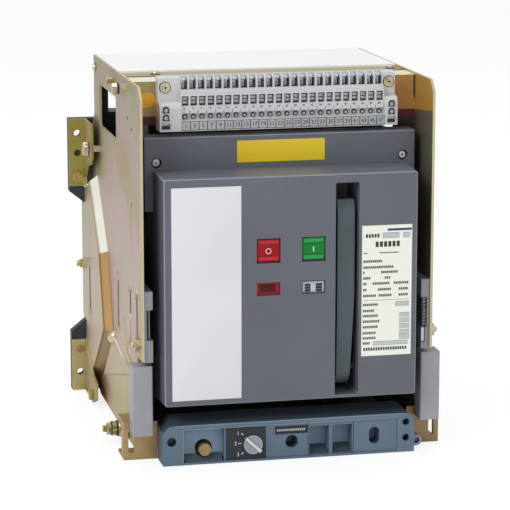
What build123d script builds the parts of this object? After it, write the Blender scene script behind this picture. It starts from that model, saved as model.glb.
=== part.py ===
"""Three-pole air circuit breaker standing in its draw-out cradle, in the connected position.

Units are millimetres. +X is to the right as seen from the operator, +Y runs from the front
mask to the rear terminals, and +Z is up. The origin is the middle of the footprint on the floor.
"""
import os

from build123d import *

os.makedirs("parts", exist_ok=True)

# Driving dimensions: the whole apparatus
TOTAL_DEPTH = 421.0      # mask face to the ends of the rear terminals
PLATE_HEIGHT = 432.0     # floor to the top edge of the side plates
PLATE_SPAN = 340.0       # outside to outside of the two side plates
SHEET = 3.0              # folded steel sheet of the cradle
SEAT_GAP = 0.3           # gap where curved or separate pieces seat on each other
OVERCUT = 1.0            # how far a cutter runs past the surface that it cuts
NOTCH_GAP = 6.0          # side plate's notch above the end block

# Driving dimensions: side plates, as distances behind the mask face and heights
PLATE_FRONT = 14.0
PLATE_REAR_TOP = 350.0
PLATE_REAR_LOW = 395.0
PLATE_UNDERSIDE = 5.0
NOSE_CUT = 13.0          # chamfer at the top front corner
BULGE = 11.0             # how far the pressed rear part stands out of the plate
PAD = 2.2                # rise of the pressed pad below the dome
WINDOW_FRONT = 181.0
WINDOW_LENGTH = 126.0
WINDOW_DROP = 82.0       # plate's top edge down to the window's sill
WINDOW_HEIGHT = 51.0
WINDOW_CORNER = 4.0
LANCE_WIDTH = 3.2
LANCE_PROUD = 2.4        # the pushed-out tab at each end of a lanced slot
LANCE_TAB = 8.0
LANCES = ((177, 122, 193), (91, 124, 194), (47, 126, 195))
REAR_LANCE = (330, 108, 180)
DOME_DEPTH = 208.0
DOME_HEIGHT = 106.0
DOME_RADIUS = 7.5
DOME_CROWN = 4.0         # radius of the dome's flat crown
DOME_RISE = 5.5
GROOVE_DEPTH = 1.2

# Driving dimensions: front mask of the breaker
MASK_LOW = 71.2
MASK_STEP = 1.4          # mask's side inside the housing's
MASK_PROUD = 56.0        # raised panel stands this far in front of the flange
MASK_DRAFT = 2.0
MASK_CORNER = 3.0
MASK_EDGE = 1.2
FLANGE_SHOWS = 38.8      # flange above the raised panel
FLANGE_SIDE_GAP = 9.0    # flange's wing to the side plate
FLANGE_TOP_GAP = 10.0    # flange's top edge to the board above it
FLANGE_WING = 84.0
FLANGE_DEPTH = 30.0

# Driving dimensions: fittings on the mask
BLANK_LEFT = -138.4
BLANK_WIDTH = 80.4
BLANK_MARGIN_LOW = 6.0
BLANK_MARGIN_HIGH = 9.4
INSET_DEPTH = 1.5
INSET_PLATE = 1.2
NAMEPLATE_LEFT = 81.2
NAMEPLATE_WIDTH = 59.6
NAMEPLATE_DROP = 60.4    # raised panel's top down to the nameplate
NAMEPLATE_HEIGHT = 152.6
BUTTON_WINDOW = 27.4
BUTTON_GAP = 0.9
BUTTON_LENGTH = 14.0
BUTTON_SUNK = 1.5
BUTTON_TRAVEL = 4.0
BUTTON_CORNER = 1.4
BUTTON_DROP = 84.4
OFF_BUTTON_X = -27.0
ON_BUTTON_X = 25.2
INDICATOR_DROP = 43.8    # buttons down to the indicators
INDICATOR_WIDTH = 26.8
INDICATOR_HEIGHT = 14.0
INDICATOR_SUNK = 2.5
INDICATOR_THICK = 2.0
LABEL_WIDTH = 102.4
LABEL_HEIGHT = 25.0
LABEL_DROP = 18.5        # flange's top edge down to the label's middle
LABEL_THICK = 0.4
MASK_SCREW_X = 144.2
MASK_SCREW_DROP = 28.7
MASK_SCREW_WELL = 6.0
MASK_SCREW_WELL_DEPTH = 8.0
MASK_SCREW_HEAD = 4.4
MASK_SCREW_HEAD_THICK = 4.0

# Driving dimensions: charging handle
SLOT_LEFT = 50.6
SLOT_WIDTH = 27.6
SLOT_SILL = 3.8          # mask's lower edge up to the slot
SLOT_LINTEL = 10.2       # slot's top to the raised panel's top
SLOT_DEPTH = 54.0
SLOT_CORNER = 2.0
HANDLE_WIDTH = 20.0
HANDLE_FINGER_GAP = 21.0
HANDLE_PIVOT_RISE = 27.0 # slot's foot up to the pin
HANDLE_PIVOT_SUNK = 28.0
HANDLE_HUB = 20.0
HANDLE_FRONT = 6.0
HANDLE_THICK = 17.0
HANDLE_NARROWING = 6.0
HANDLE_NARROW_TO = 88.0  # pin up to where the lever has its full width
HANDLE_PIN = 5.0
HANDLE_PIN_SEAT = 7.0
HANDLE_PIN_GAP = 0.1

# Driving dimensions: breaker body
HOUSING_SIDE_GAP = 9.0   # housing to the guide rails
HOUSING_LOW = 62.0
HOUSING_STEP = 18.0      # flange's top edge down to the housing's top
HOUSING_REAR = 300.0
HOUSING_SEAM = 4.0
HOUSING_SEAM_DEPTH = 20.0
CHUTE_RISE = 20.0
CHUTE_FRONT = 150.0
POLE_PITCH = 95.0
CHUTE_WIDTH = 84.0
CHUTE_DEPTH = 150.0
CHUTE_SLOTS = 9
CHUTE_SLOT_PITCH = 15.0
CHUTE_SLOT_WIDTH = 5.0
CHUTE_SLOT_DEPTH = 8.0
CHUTE_MARGIN = 8.0
LUG_HEIGHT = 22.0
JAW_WIDTH = 48.0
JAW_THICK = 9.0
JAW_LENGTH = 28.0

# Driving dimensions: rails on the cradle
RAIL_FRONT = 16.0
RAIL_LENGTH = 300.0
RAIL_WIDTH = 10.0
RAIL_LOW = 120.0
RAIL_LEDGE = 25.5
RAIL_CHANNEL = 35.5
RAIL_CAP = 21.0
RAIL_WEB = 3.0
RAIL_BAR_SET_BACK = 5.0
RAIL_BAR_DEPTH = 4.0
RAIL_BAR_WIDTH = 1.6

# Driving dimensions: racking base
BASE_FRONT = 7.1
BASE_HEIGHT = 46.4
BASE_SLOPE = 5.6         # rise of the top face from front to rear
BASE_DEPTH = 36.0
BASE_CHAMFER = 13.0
BASE_CHAMFER_DROP = 9.0
FIELD_LEFT = -124.0
FIELD_RIGHT = 128.0
FIELD_LOW = 2.6
FIELD_HIGH = 41.2
FIELD_DEPTH = 1.5
ROD_WELL_WIDTH = 47.0
ROD_WELL_DEPTH = 9.5
ROD_X = -99.5
ROD_Z = 16.8
ROD_RADIUS = 7.4
ROD_BORE = 10.0
ROD_BORE_DEPTH = 22.0
RAMP_RISE = 8.0
RAMP_INSET = 1.8
DIAL_PLATE_LEFT = -75.0
DIAL_PLATE_WIDTH = 47.0
DIAL_PLATE_THICK = 1.8
DIAL_PLATE_POCKET = 2.0
DIAL_X = -43.5
DIAL_Z = 19.9
DIAL_RADIUS = 10.8
DIAL_THICK = 3.4
DIAL_BAR_WIDTH = 4.2
DIAL_BAR_OVERHANG = 1.5
DIAL_BAR_THICK = 1.6
DIAL_BAR_TURN = 43.0
DIAL_SHAFT = 3.0
DIAL_SHAFT_LENGTH = 14.0
SHAFT_GAP = 0.1
CRANK_X = 2.4
CRANK_Z = 20.5
CRANK_BORE = 7.5
CRANK_BORE_DEPTH = 24.5
CRANK_STRIP_LEFT = -17.5
CRANK_STRIP_WIDTH = 39.0
CRANK_STRIP_LOW = 29.5
CRANK_STRIP_HEIGHT = 9.3
CRANK_STRIP_THICK = 1.2
BAY_LEFT = 23.0
BAY_WIDTH = 23.5
BAY_RIB = 4.0
BAY_DEPTH = 19.0
BAY_LOW = 3.6
BAY_HIGH = 37.0
JOINT_LINES = (22.0, 76.0)
JOINT_LINE_WIDTH = 0.8
OVAL_X = 100.4
OVAL_Z = 21.8
OVAL_WIDTH = 12.6
OVAL_HEIGHT = 20.0
OVAL_DEPTH = 21.0
END_HOLE_X = 138.0
END_HOLE_DEPTH = 15.0
LEFT_END_HOLE = (28.0, 5.4)
RIGHT_END_HOLES = ((36.0, 4.2), (17.3, 4.2))
RING_Z = 11.5
RING_RADIUS = 6.5
RING_HOLE = 3.6
RING_LENGTH = 8.0
RING_SET_BACK = 6.0
RING_PROUD = 4.5

# Driving dimensions: end blocks, feet and floor tray
BLOCK_WIDTH = 23.0
BLOCK_STEP = 0.6         # end block's inner side past the rail's
BLOCK_LOW = 34.4
BLOCK_HIGH = 115.6
BLOCK_CORNER = 1.5
FOOT_FRONT = 42.0
FOOT_FLARE = 17.5        # foot past the side plate
FOOT_HEIGHT = 44.7
FOOT_TOP_DEPTH = 40.0
FOOT_RETURN = 16.0
FOOT_SLOT_WIDTH = 6.5
FOOT_SLOT_LENGTH = 27.0
FOOT_SLOT_Z = 21.4
TRAY_LIP = 16.0
TRAY_GAP = 4.0

# Driving dimensions: top of the cradle
BEAM_FRONT = 88.0
BEAM_DROP = 2.0
BEAM_HEIGHT = 40.0
BEAM_DEPTH = 42.0
BEAM_SLOT_EDGE = 3.0
BEAM_SLOT_WIDTH = 5.0
BEAM_SLOT_RISE = 10.0
BOARD_HEIGHT = 10.0
COVER_FRONT = 173.5
COVER_SHEET = 2.0
LIP_FRONT = 138.0
LIP_HEIGHT = 14.0
LIP_UNDERLAP = 14.0

# Driving dimensions: terminal strip
STRIP_WIDTH = 278.0
STRIP_FRONT = 66.0
STRIP_DROP = 14.4        # crossbeam's lower edge down to the strip's foot
STRIP_HEIGHT = 61.0
STRIP_NOSE = 4.0
CELL_COUNT = 24
CELL_PITCH = 9.9
CELL_LEFT = -113.8
CELL_RIB = 2.2
SLOT_ROW = 46.4          # height of each row above the strip's foot
SLOT_ROW_DEPTH = 9.0
WELL_ROW = 28.4
WELL_HEIGHT = 11.0
WELL_DEPTH = 5.0
END_WELL_LOW = 2.5
END_WELL_HEIGHT = 7.5
END_WELL_WIDTH = 10.0
END_WELL_DEPTH = 4.0
END_MARGIN = 7.2

# Driving dimensions: rear base, terminals and wall brackets
REAR_BASE_FRONT = 335.0
REAR_BASE_THICK = 34.0
REAR_BASE_LOW = 20.0
REAR_BASE_RISE = 12.0    # base above the upper brackets
POST_WIDTH = 12.0
POST_RISE = 46.0
EAR_THICK = 14.0
EAR_DROP = 22.0
EAR_RISE = 25.0
BARRIER_THICK = 6.0
BARRIER_DEPTH = 20.0
BARRIER_MARGIN = 40.0
TERMINAL_WIDTH = 56.0
TERMINAL_THICK = 15.0
TERMINAL_HIGH_Z = 270.0
TERMINAL_LOW_Z = 130.0
TERMINAL_HOLE = 11.0
TERMINAL_HOLE_PITCH = 26.0
TERMINAL_HOLE_EDGE = 14.0
CONTACT_REACH = 30.0
BRACKET_FLANGE = 19.0    # bracket's flange past the bulge
BRACKET_SHEET = 3.0
BRACKET_DROP = 82.0      # plate's top edge down to the upper bracket
BRACKET_HIGH_HEIGHT = 85.0
BRACKET_LOW_LOW = 1.0
BRACKET_LOW_HEIGHT = 66.0
BRACKET_LEG = 62.0
BRACKET_LOW_LEG = 94.0
BRACKET_HOLE = 8.5
BRACKET_HOLE_EDGE = 10.5
BRACKET_HIGH_HOLE_DROP = 18.2
BRACKET_BLIND_HOLE_DROP = 43.0
BRACKET_LOW_HOLE_RISE = 23.8

# Driving dimensions: studs and nuts on the side plates
NUT = 15.0               # across flats
NUT_THICK = 8.0
SMALL_NUT = 13.0
SMALL_NUT_THICK = 6.0
STUD_RADIUS = 4.0
STUD_END = 6.0
WASHER_RADIUS = 10.0
WASHER_THICK = 3.0
UPPER_STUD_DEPTH = 312.0
UPPER_STUD_RISE = 55.0   # upper bracket's foot up to the stud
EARTH_DEPTH = 120.0
EARTH_Z = 17.0
FRONT_NUT_DEPTH = 29.5
FRONT_NUT_Z = 139.3
TOP_BOLT_DEPTH = 120.0
TOP_BOLT_DROP = 13.0

# Worked out from the driving dimensions
FACE = -TOTAL_DEPTH / 2
PLATE_OUTER = PLATE_SPAN / 2
PLATE_INNER = PLATE_OUTER - SHEET
BULGE_OUTER = PLATE_OUTER + BULGE
BRACKET_OUTER = BULGE_OUTER + BRACKET_FLANGE
BEAM_HIGH = PLATE_HEIGHT - BEAM_DROP
BEAM_LOW = BEAM_HIGH - BEAM_HEIGHT
STRIP_LOW = BEAM_LOW - STRIP_DROP
STRIP_TOP = STRIP_LOW + STRIP_HEIGHT
CELL_RIGHT = CELL_LEFT + CELL_COUNT * CELL_PITCH
FLANGE_TOP = BEAM_LOW - BOARD_HEIGHT - FLANGE_TOP_GAP
MASK_HIGH = FLANGE_TOP - FLANGE_SHOWS
FLANGE_FACE = FACE + MASK_PROUD
HOUSING_FACE = FLANGE_FACE + FLANGE_DEPTH
HOUSING_HALF = PLATE_INNER - RAIL_WIDTH - HOUSING_SIDE_GAP
HOUSING_TOP = FLANGE_TOP - HOUSING_STEP
MASK_HALF = HOUSING_HALF - MASK_STEP
FLANGE_HALF = PLATE_INNER - FLANGE_SIDE_GAP
BUTTON_Z = MASK_HIGH - BUTTON_DROP
INDICATOR_Z = BUTTON_Z - INDICATOR_DROP
MASK_SCREW_Z = FLANGE_TOP - MASK_SCREW_DROP
SLOT_LOW = MASK_LOW + SLOT_SILL
SLOT_HIGH = MASK_HIGH - SLOT_LINTEL
HANDLE_TOP = SLOT_HIGH - HANDLE_FINGER_GAP
HANDLE_PIVOT_Z = SLOT_LOW + HANDLE_PIVOT_RISE
BASE_FACE = FACE + BASE_FRONT
BASE_REAR = BASE_FACE + BASE_DEPTH
BASE_HALF = HOUSING_HALF
FIELD_FACE = BASE_FACE + FIELD_DEPTH
BLOCK_INNER = PLATE_INNER - RAIL_WIDTH + BLOCK_STEP
FOOT_OUTER = PLATE_OUTER + FOOT_FLARE
BRACKET_HIGH_TOP = PLATE_HEIGHT - BRACKET_DROP
BRACKET_HIGH_LOW = BRACKET_HIGH_TOP - BRACKET_HIGH_HEIGHT
BRACKET_LOW_TOP = BRACKET_LOW_LOW + BRACKET_LOW_HEIGHT
BRACKET_HOLE_X = BRACKET_OUTER - BRACKET_HOLE_EDGE
BRACKET_HOLES = (BRACKET_HIGH_TOP - BRACKET_HIGH_HOLE_DROP, BRACKET_LOW_LOW + BRACKET_LOW_HOLE_RISE)
REAR_BASE_REAR = REAR_BASE_FRONT + REAR_BASE_THICK
REAR_BASE_TOP = BRACKET_HIGH_TOP + REAR_BASE_RISE
EAR_FACE = FACE + REAR_BASE_REAR
POLES = (-POLE_PITCH, 0, POLE_PITCH)


def block(x0, x1, y0, y1, z0, z1):
    """A straight block from its limits."""
    return Pos((x0 + x1) / 2, (y0 + y1) / 2, (z0 + z1) / 2) * Box(abs(x1 - x0), abs(y1 - y0), abs(z1 - z0))


def rod_x(x0, x1, y, z, radius):
    """A round bar that lies along X."""
    return Pos((x0 + x1) / 2, y, z) * Rot(0, 90, 0) * Cylinder(radius, abs(x1 - x0))


def rod_y(x, y0, y1, z, radius):
    """A round bar that lies along Y."""
    return Pos(x, (y0 + y1) / 2, z) * Rot(90, 0, 0) * Cylinder(radius, abs(y1 - y0))


def rod_z(x, y, z0, z1, radius):
    """A round bar that stands along Z."""
    return Pos(x, y, (z0 + z1) / 2) * Cylinder(radius, abs(z1 - z0))


def hex_x(x0, x1, y, z, across):
    """A hexagon nut whose axis lies along X."""
    outline = RegularPolygon(across / 2, 6, major_radius=False)
    seat = Plane(origin=(min(x0, x1), y, z), x_dir=(0, 1, 0), z_dir=(1, 0, 0))
    return extrude(seat * outline, abs(x1 - x0))


def side_section(points, x):
    """A face parallel to YZ, from its outline of (distance behind the mask face, height) points."""
    seat = Plane(origin=(x, FACE, 0), x_dir=(0, 1, 0), z_dir=(1, 0, 0))
    return seat * make_face(Polyline(*points, close=True))


def side_face(points, x0, x1):
    """A plate parallel to YZ, from its outline."""
    return extrude(side_section(points, x0), x1 - x0)


def front_face(points, y0, y1):
    """A plate parallel to XZ, from its outline of (x, height) points."""
    seat = Plane(origin=(0, y1, 0), x_dir=(1, 0, 0), z_dir=(0, -1, 0))
    return extrude(seat * make_face(Polyline(*points, close=True)), y1 - y0)


def mirrored(shape):
    """The same piece on the other side."""
    return mirror(shape, about=Plane.YZ)


def write(name, shape):
    """Writes one piece to its own file."""
    export_step(shape, f"parts/{name}.step")


def write_pair(name, left):
    """Writes a left piece and its mirror image."""
    write(f"{name}_left", left)
    write(f"{name}_right", mirrored(left))


# Side plates
def plate_outline():
    """Outline of a side plate, from the front lower notch round to the underside."""
    notch = FOOT_FRONT + SHEET
    return [
        (PLATE_FRONT, BLOCK_HIGH + NOTCH_GAP),
        (PLATE_FRONT, PLATE_HEIGHT - NOSE_CUT),
        (PLATE_FRONT + NOSE_CUT, PLATE_HEIGHT),
        (PLATE_REAR_TOP, PLATE_HEIGHT),
        (PLATE_REAR_TOP, BRACKET_HIGH_TOP + 8),
        (REAR_BASE_REAR, BRACKET_HIGH_TOP - 6),
        (REAR_BASE_REAR, BRACKET_HIGH_LOW),
        (PLATE_REAR_LOW, BRACKET_HIGH_LOW - 18),
        (PLATE_REAR_LOW, BRACKET_LOW_TOP + 30),
        (REAR_BASE_REAR, BRACKET_LOW_TOP),
        (REAR_BASE_REAR, PLATE_UNDERSIDE + 14),
        (REAR_BASE_FRONT - 10, PLATE_UNDERSIDE),
        (notch, PLATE_UNDERSIDE),
        (notch, BLOCK_HIGH + NOTCH_GAP),
    ]


def bulge_outline(grow):
    """Outline of the pressed rear part, larger by the wall's slope where it meets the plate."""
    rear = PLATE_REAR_LOW + 20
    return [
        (REAR_BASE_FRONT - 4 - grow / 2, BRACKET_HIGH_LOW + 11 + grow),
        (258 - grow, BRACKET_HIGH_LOW - 66 + grow / 2),
        (226 - grow, 112 - grow / 3),
        (300 - grow / 2, 52 - grow),
        (REAR_BASE_FRONT + 10 - grow / 2, 24 - grow),
        (rear, 24 - grow),
        (rear, BRACKET_HIGH_LOW - 3 + grow),
        (REAR_BASE_FRONT + 17, BRACKET_HIGH_LOW - 3 + grow),
    ]


def pad_outline(grow):
    """Outline of the shallow pressed pad that widens from the dome down to a crease."""
    return [
        (214 + grow / 2, 100 + grow), (196, 106 + grow), (150, 98 + grow),
        (84 - grow, 95), (84 - grow, 91 - grow), (282 + grow, 42 - grow),
    ]


def pressed(outline, rise):
    """The outer and the inner solid of a pressing that rises out of the left plate."""
    def tapered(inset):
        crown = side_section(outline(0), -PLATE_OUTER - rise + inset)
        foot = side_section(outline(rise), -PLATE_INNER + inset)
        return loft([crown, foot])
    return tapered(0), tapered(SHEET)


def lanced_slot(plate, lance, surface):
    """A thin vertical slot whose two ends are left as tabs pushed outwards."""
    depth, low, high = lance
    y0, y1 = FACE + depth - LANCE_WIDTH / 2, FACE + depth + LANCE_WIDTH / 2
    plate -= block(-surface - OVERCUT, -surface + SHEET + OVERCUT, y0, y1, low + LANCE_TAB, high - LANCE_TAB)
    for foot in (low, high - LANCE_TAB):
        plate += block(-surface - LANCE_PROUD, -surface, y0, y1, foot, foot + LANCE_TAB)
    return plate


def side_plate():
    """The left side plate with its bulge, pad, dome, window, groove and lanced slots."""
    plate = side_face(plate_outline(), -PLATE_OUTER, -PLATE_INNER)
    trim = side_face(plate_outline(), -BULGE_OUTER - OVERCUT, -PLATE_INNER)
    pad_outer, pad_inner = pressed(pad_outline, PAD)
    plate = (plate + (pad_outer & trim)) - pad_inner
    bulge_outer, bulge_inner = pressed(bulge_outline, BULGE)
    plate = (plate + (bulge_outer & trim)) - bulge_inner
    dome = Rot(0, -90, 0) * Cone(DOME_RADIUS, DOME_CROWN, DOME_RISE)
    plate += Pos(-PLATE_OUTER - DOME_RISE / 2, FACE + DOME_DEPTH, DOME_HEIGHT) * dome
    sill = PLATE_HEIGHT - WINDOW_DROP
    window = block(
        -PLATE_OUTER - OVERCUT, -PLATE_INNER + OVERCUT,
        FACE + WINDOW_FRONT, FACE + WINDOW_FRONT + WINDOW_LENGTH, sill, sill + WINDOW_HEIGHT,
    )
    plate -= fillet(window.edges().filter_by(Axis.X), WINDOW_CORNER)
    groove = [(137, 146), (124, 117), (113, 107), (84, 103), (84, 107), (110, 111), (120, 119), (133, 147)]
    plate -= side_face(groove, -PLATE_OUTER - OVERCUT, -PLATE_OUTER + GROOVE_DEPTH)
    for lance in LANCES:
        plate = lanced_slot(plate, lance, PLATE_OUTER)
    return lanced_slot(plate, REAR_LANCE, BULGE_OUTER)


# Floor tray between the plates, and the front feet
def floor_tray():
    """The folded floor sheet that the cradle rests on, with turned-up edges."""
    front = FACE + FOOT_FRONT + FOOT_TOP_DEPTH + TRAY_GAP
    rear = FACE + REAR_BASE_FRONT - SEAT_GAP
    half = PLATE_INNER
    tray = block(-half, half, front, rear, 0, TRAY_LIP)
    return tray - block(-half + SHEET, half - SHEET, front + SHEET, rear - SHEET, SHEET, TRAY_LIP + OVERCUT)


def foot():
    """The left front foot: slotted front flange, top face, outer return and sole."""
    inner = -BASE_HALF - SEAT_GAP
    y0 = FACE + FOOT_FRONT
    flange = block(-FOOT_OUTER, inner, y0, y0 + SHEET, 0, FOOT_HEIGHT)
    top = block(
        -FOOT_OUTER, -PLATE_OUTER - SEAT_GAP, y0, y0 + FOOT_TOP_DEPTH, FOOT_HEIGHT - SHEET, FOOT_HEIGHT,
    )
    outer = block(-FOOT_OUTER, -FOOT_OUTER + SHEET, y0, y0 + FOOT_RETURN, 0, FOOT_HEIGHT)
    sole = block(-FOOT_OUTER, inner, y0, y0 + FOOT_TOP_DEPTH, 0, SHEET)
    middle = (PLATE_OUTER + FOOT_OUTER) / 2
    half, tall = FOOT_SLOT_WIDTH / 2, FOOT_SLOT_LENGTH / 2
    slot = block(
        -middle - half, -middle + half, y0 - OVERCUT, y0 + SHEET + OVERCUT,
        FOOT_SLOT_Z - tall, FOOT_SLOT_Z + tall,
    )
    return (flange + top + outer + sole) - fillet(slot.edges().filter_by(Axis.Y), half - SHAFT_GAP)


# Rails and end blocks
def guide_rail():
    """The left C-shaped rail, open towards the breaker, with the thin lock bar at its mouth."""
    x0, x1 = -PLATE_INNER, -PLATE_INNER + RAIL_WIDTH
    y0, y1 = FACE + RAIL_FRONT, FACE + RAIL_FRONT + RAIL_LENGTH
    ledge = RAIL_LOW + RAIL_LEDGE
    cap = ledge + RAIL_CHANNEL
    rail = block(x0, x1, y0, y1, RAIL_LOW, cap + RAIL_CAP)
    rail -= block(x0 + RAIL_WEB, x1 + OVERCUT, y0 - OVERCUT, y1 + OVERCUT, ledge, cap)
    bar_y = y0 + RAIL_BAR_SET_BACK
    middle = (x0 + RAIL_WEB + x1) / 2
    return rail + block(
        middle - RAIL_BAR_WIDTH / 2, middle + RAIL_BAR_WIDTH / 2, bar_y, bar_y + RAIL_BAR_DEPTH, ledge, cap,
    )


def end_block():
    """The grey moulded block in front of the left rail's foot."""
    solid = block(
        -BLOCK_INNER - BLOCK_WIDTH, -BLOCK_INNER, FACE + RAIL_FRONT, FACE + FOOT_FRONT, BLOCK_LOW, BLOCK_HIGH,
    )
    return fillet(solid.edges().filter_by(Axis.Z), BLOCK_CORNER)


# Top of the cradle
def top_crossbeam():
    """The folded front cross member with its flat top flange."""
    y0 = FACE + BEAM_FRONT
    beam = block(-PLATE_INNER, PLATE_INNER, y0, y0 + BEAM_DEPTH, BEAM_LOW, BEAM_HIGH)
    beam -= block(
        -PLATE_INNER - OVERCUT, PLATE_INNER + OVERCUT,
        y0 + SHEET, y0 + BEAM_DEPTH + OVERCUT, BEAM_LOW - OVERCUT, BEAM_HIGH - SHEET,
    )
    edge = PLATE_INNER - BEAM_SLOT_EDGE
    return beam - block(
        edge - BEAM_SLOT_WIDTH, edge, y0 - OVERCUT, y0 + SHEET + OVERCUT,
        BEAM_LOW + BEAM_SLOT_RISE, BEAM_HIGH - SHEET,
    )


def insulating_board():
    """The dark red laminate board carried under the crossbeam."""
    y0 = FACE + BEAM_FRONT
    return block(-PLATE_INNER, PLATE_INNER, y0, y0 + BEAM_DEPTH, BEAM_LOW - BOARD_HEIGHT, BEAM_LOW)


def cover_angle():
    """The zinc angle that carries the top cover's front edge."""
    y0, y1 = FACE + LIP_FRONT, FACE + COVER_FRONT + LIP_UNDERLAP
    high = PLATE_HEIGHT - COVER_SHEET
    angle = block(-PLATE_INNER, PLATE_INNER, y0, y1, high - LIP_HEIGHT, high)
    return angle - block(
        -PLATE_INNER - OVERCUT, PLATE_INNER + OVERCUT, y0 + SHEET, y1 + OVERCUT,
        high - LIP_HEIGHT - OVERCUT, high - SHEET,
    )


def top_cover():
    """The white flat cover over the arc chutes."""
    y0, y1 = FACE + COVER_FRONT, FACE + PLATE_REAR_TOP
    return block(-PLATE_INNER, PLATE_INNER, y0, y1, PLATE_HEIGHT - COVER_SHEET, PLATE_HEIGHT)


def strip_profile():
    """Stepped side outline of the terminal strip between its ends: five rows, each with its own set-back."""
    y, low = STRIP_FRONT, STRIP_LOW
    nose = y - STRIP_NOSE
    return [
        (BEAM_FRONT, low), (nose, low), (nose, low + 12), (y + 4, low + 13), (y + 4, low + 19),
        (y, low + 20), (y, low + 40), (y + 3, low + 41), (y + 3, low + 46), (y + 7, low + 47),
        (y + 7, STRIP_TOP - 3), (y + 10, STRIP_TOP), (BEAM_FRONT, STRIP_TOP),
    ]


def strip_end_profile():
    """Side outline of the strip's end blocks: a nose with a rounded shoulder, and a plate for the screw."""
    y, low = STRIP_FRONT, STRIP_LOW
    nose = y - STRIP_NOSE
    return [
        (BEAM_FRONT, low), (nose, low), (nose, low + 26), (nose + 1.5, low + 30), (nose + 5, low + 32.5),
        (y + 9, low + 34), (y + 9, STRIP_TOP - 2), (y + 11, STRIP_TOP), (BEAM_FRONT, STRIP_TOP),
    ]


def terminal_strip():
    """The secondary terminals: a stepped moulding with a slot and a clamp well for every cell."""
    half = STRIP_WIDTH / 2
    body = side_face(strip_profile(), CELL_LEFT, CELL_RIGHT)
    body += side_face(strip_end_profile(), -half, CELL_LEFT)
    body += side_face(strip_end_profile(), CELL_RIGHT, half)
    front = FACE + STRIP_FRONT
    cutters = []
    for k in range(CELL_COUNT):
        x0 = CELL_LEFT + k * CELL_PITCH + CELL_RIB / 2
        x1 = x0 + CELL_PITCH - CELL_RIB
        cutters.append(block(
            x0, x1, front - OVERCUT, front + 7 + SLOT_ROW_DEPTH, STRIP_LOW + SLOT_ROW, STRIP_TOP + OVERCUT,
        ))
        foot_z = STRIP_LOW + WELL_ROW
        cutters.append(block(x0, x1, front - OVERCUT, front + WELL_DEPTH, foot_z, foot_z + WELL_HEIGHT))
    nose = front - STRIP_NOSE
    for x in (-half + END_MARGIN, half - END_MARGIN):
        cutters.append(block(
            x - END_WELL_WIDTH / 2, x + END_WELL_WIDTH / 2, nose - OVERCUT, nose + END_WELL_DEPTH,
            STRIP_LOW + END_WELL_LOW, STRIP_LOW + END_WELL_LOW + END_WELL_HEIGHT,
        ))
    return body - cutters


# Racking base beam
def ramp(x0, x1, depth):
    """A sloped floor in a well of the racking base, rising towards the back."""
    front = BASE_FRONT + FIELD_DEPTH
    return side_face(
        [(front, FIELD_LOW), (front + depth, FIELD_LOW), (front + depth, FIELD_LOW + RAMP_RISE)],
        x0 + RAMP_INSET, x1 - RAMP_INSET,
    )


def base_blank():
    """The racking base before its wells: sloped top, cut corners and the sunk field."""
    profile = [
        (BASE_FRONT, 0), (BASE_FRONT, BASE_HEIGHT),
        (BASE_FRONT + BASE_DEPTH, BASE_HEIGHT + BASE_SLOPE), (BASE_FRONT + BASE_DEPTH, 0),
    ]
    beam = side_face(profile, -BASE_HALF, BASE_HALF)
    high = BASE_HEIGHT + BASE_SLOPE + OVERCUT
    corner = front_face(
        [(BASE_HALF - BASE_CHAMFER, high), (BASE_HALF + OVERCUT, high),
         (BASE_HALF + OVERCUT, BASE_HEIGHT - BASE_CHAMFER_DROP)],
        BASE_FACE - OVERCUT, BASE_REAR + OVERCUT,
    )
    beam -= corner + mirrored(corner)
    return beam - block(FIELD_LEFT, FIELD_RIGHT, BASE_FACE - OVERCUT, FIELD_FACE, FIELD_LOW, FIELD_HIGH)


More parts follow.
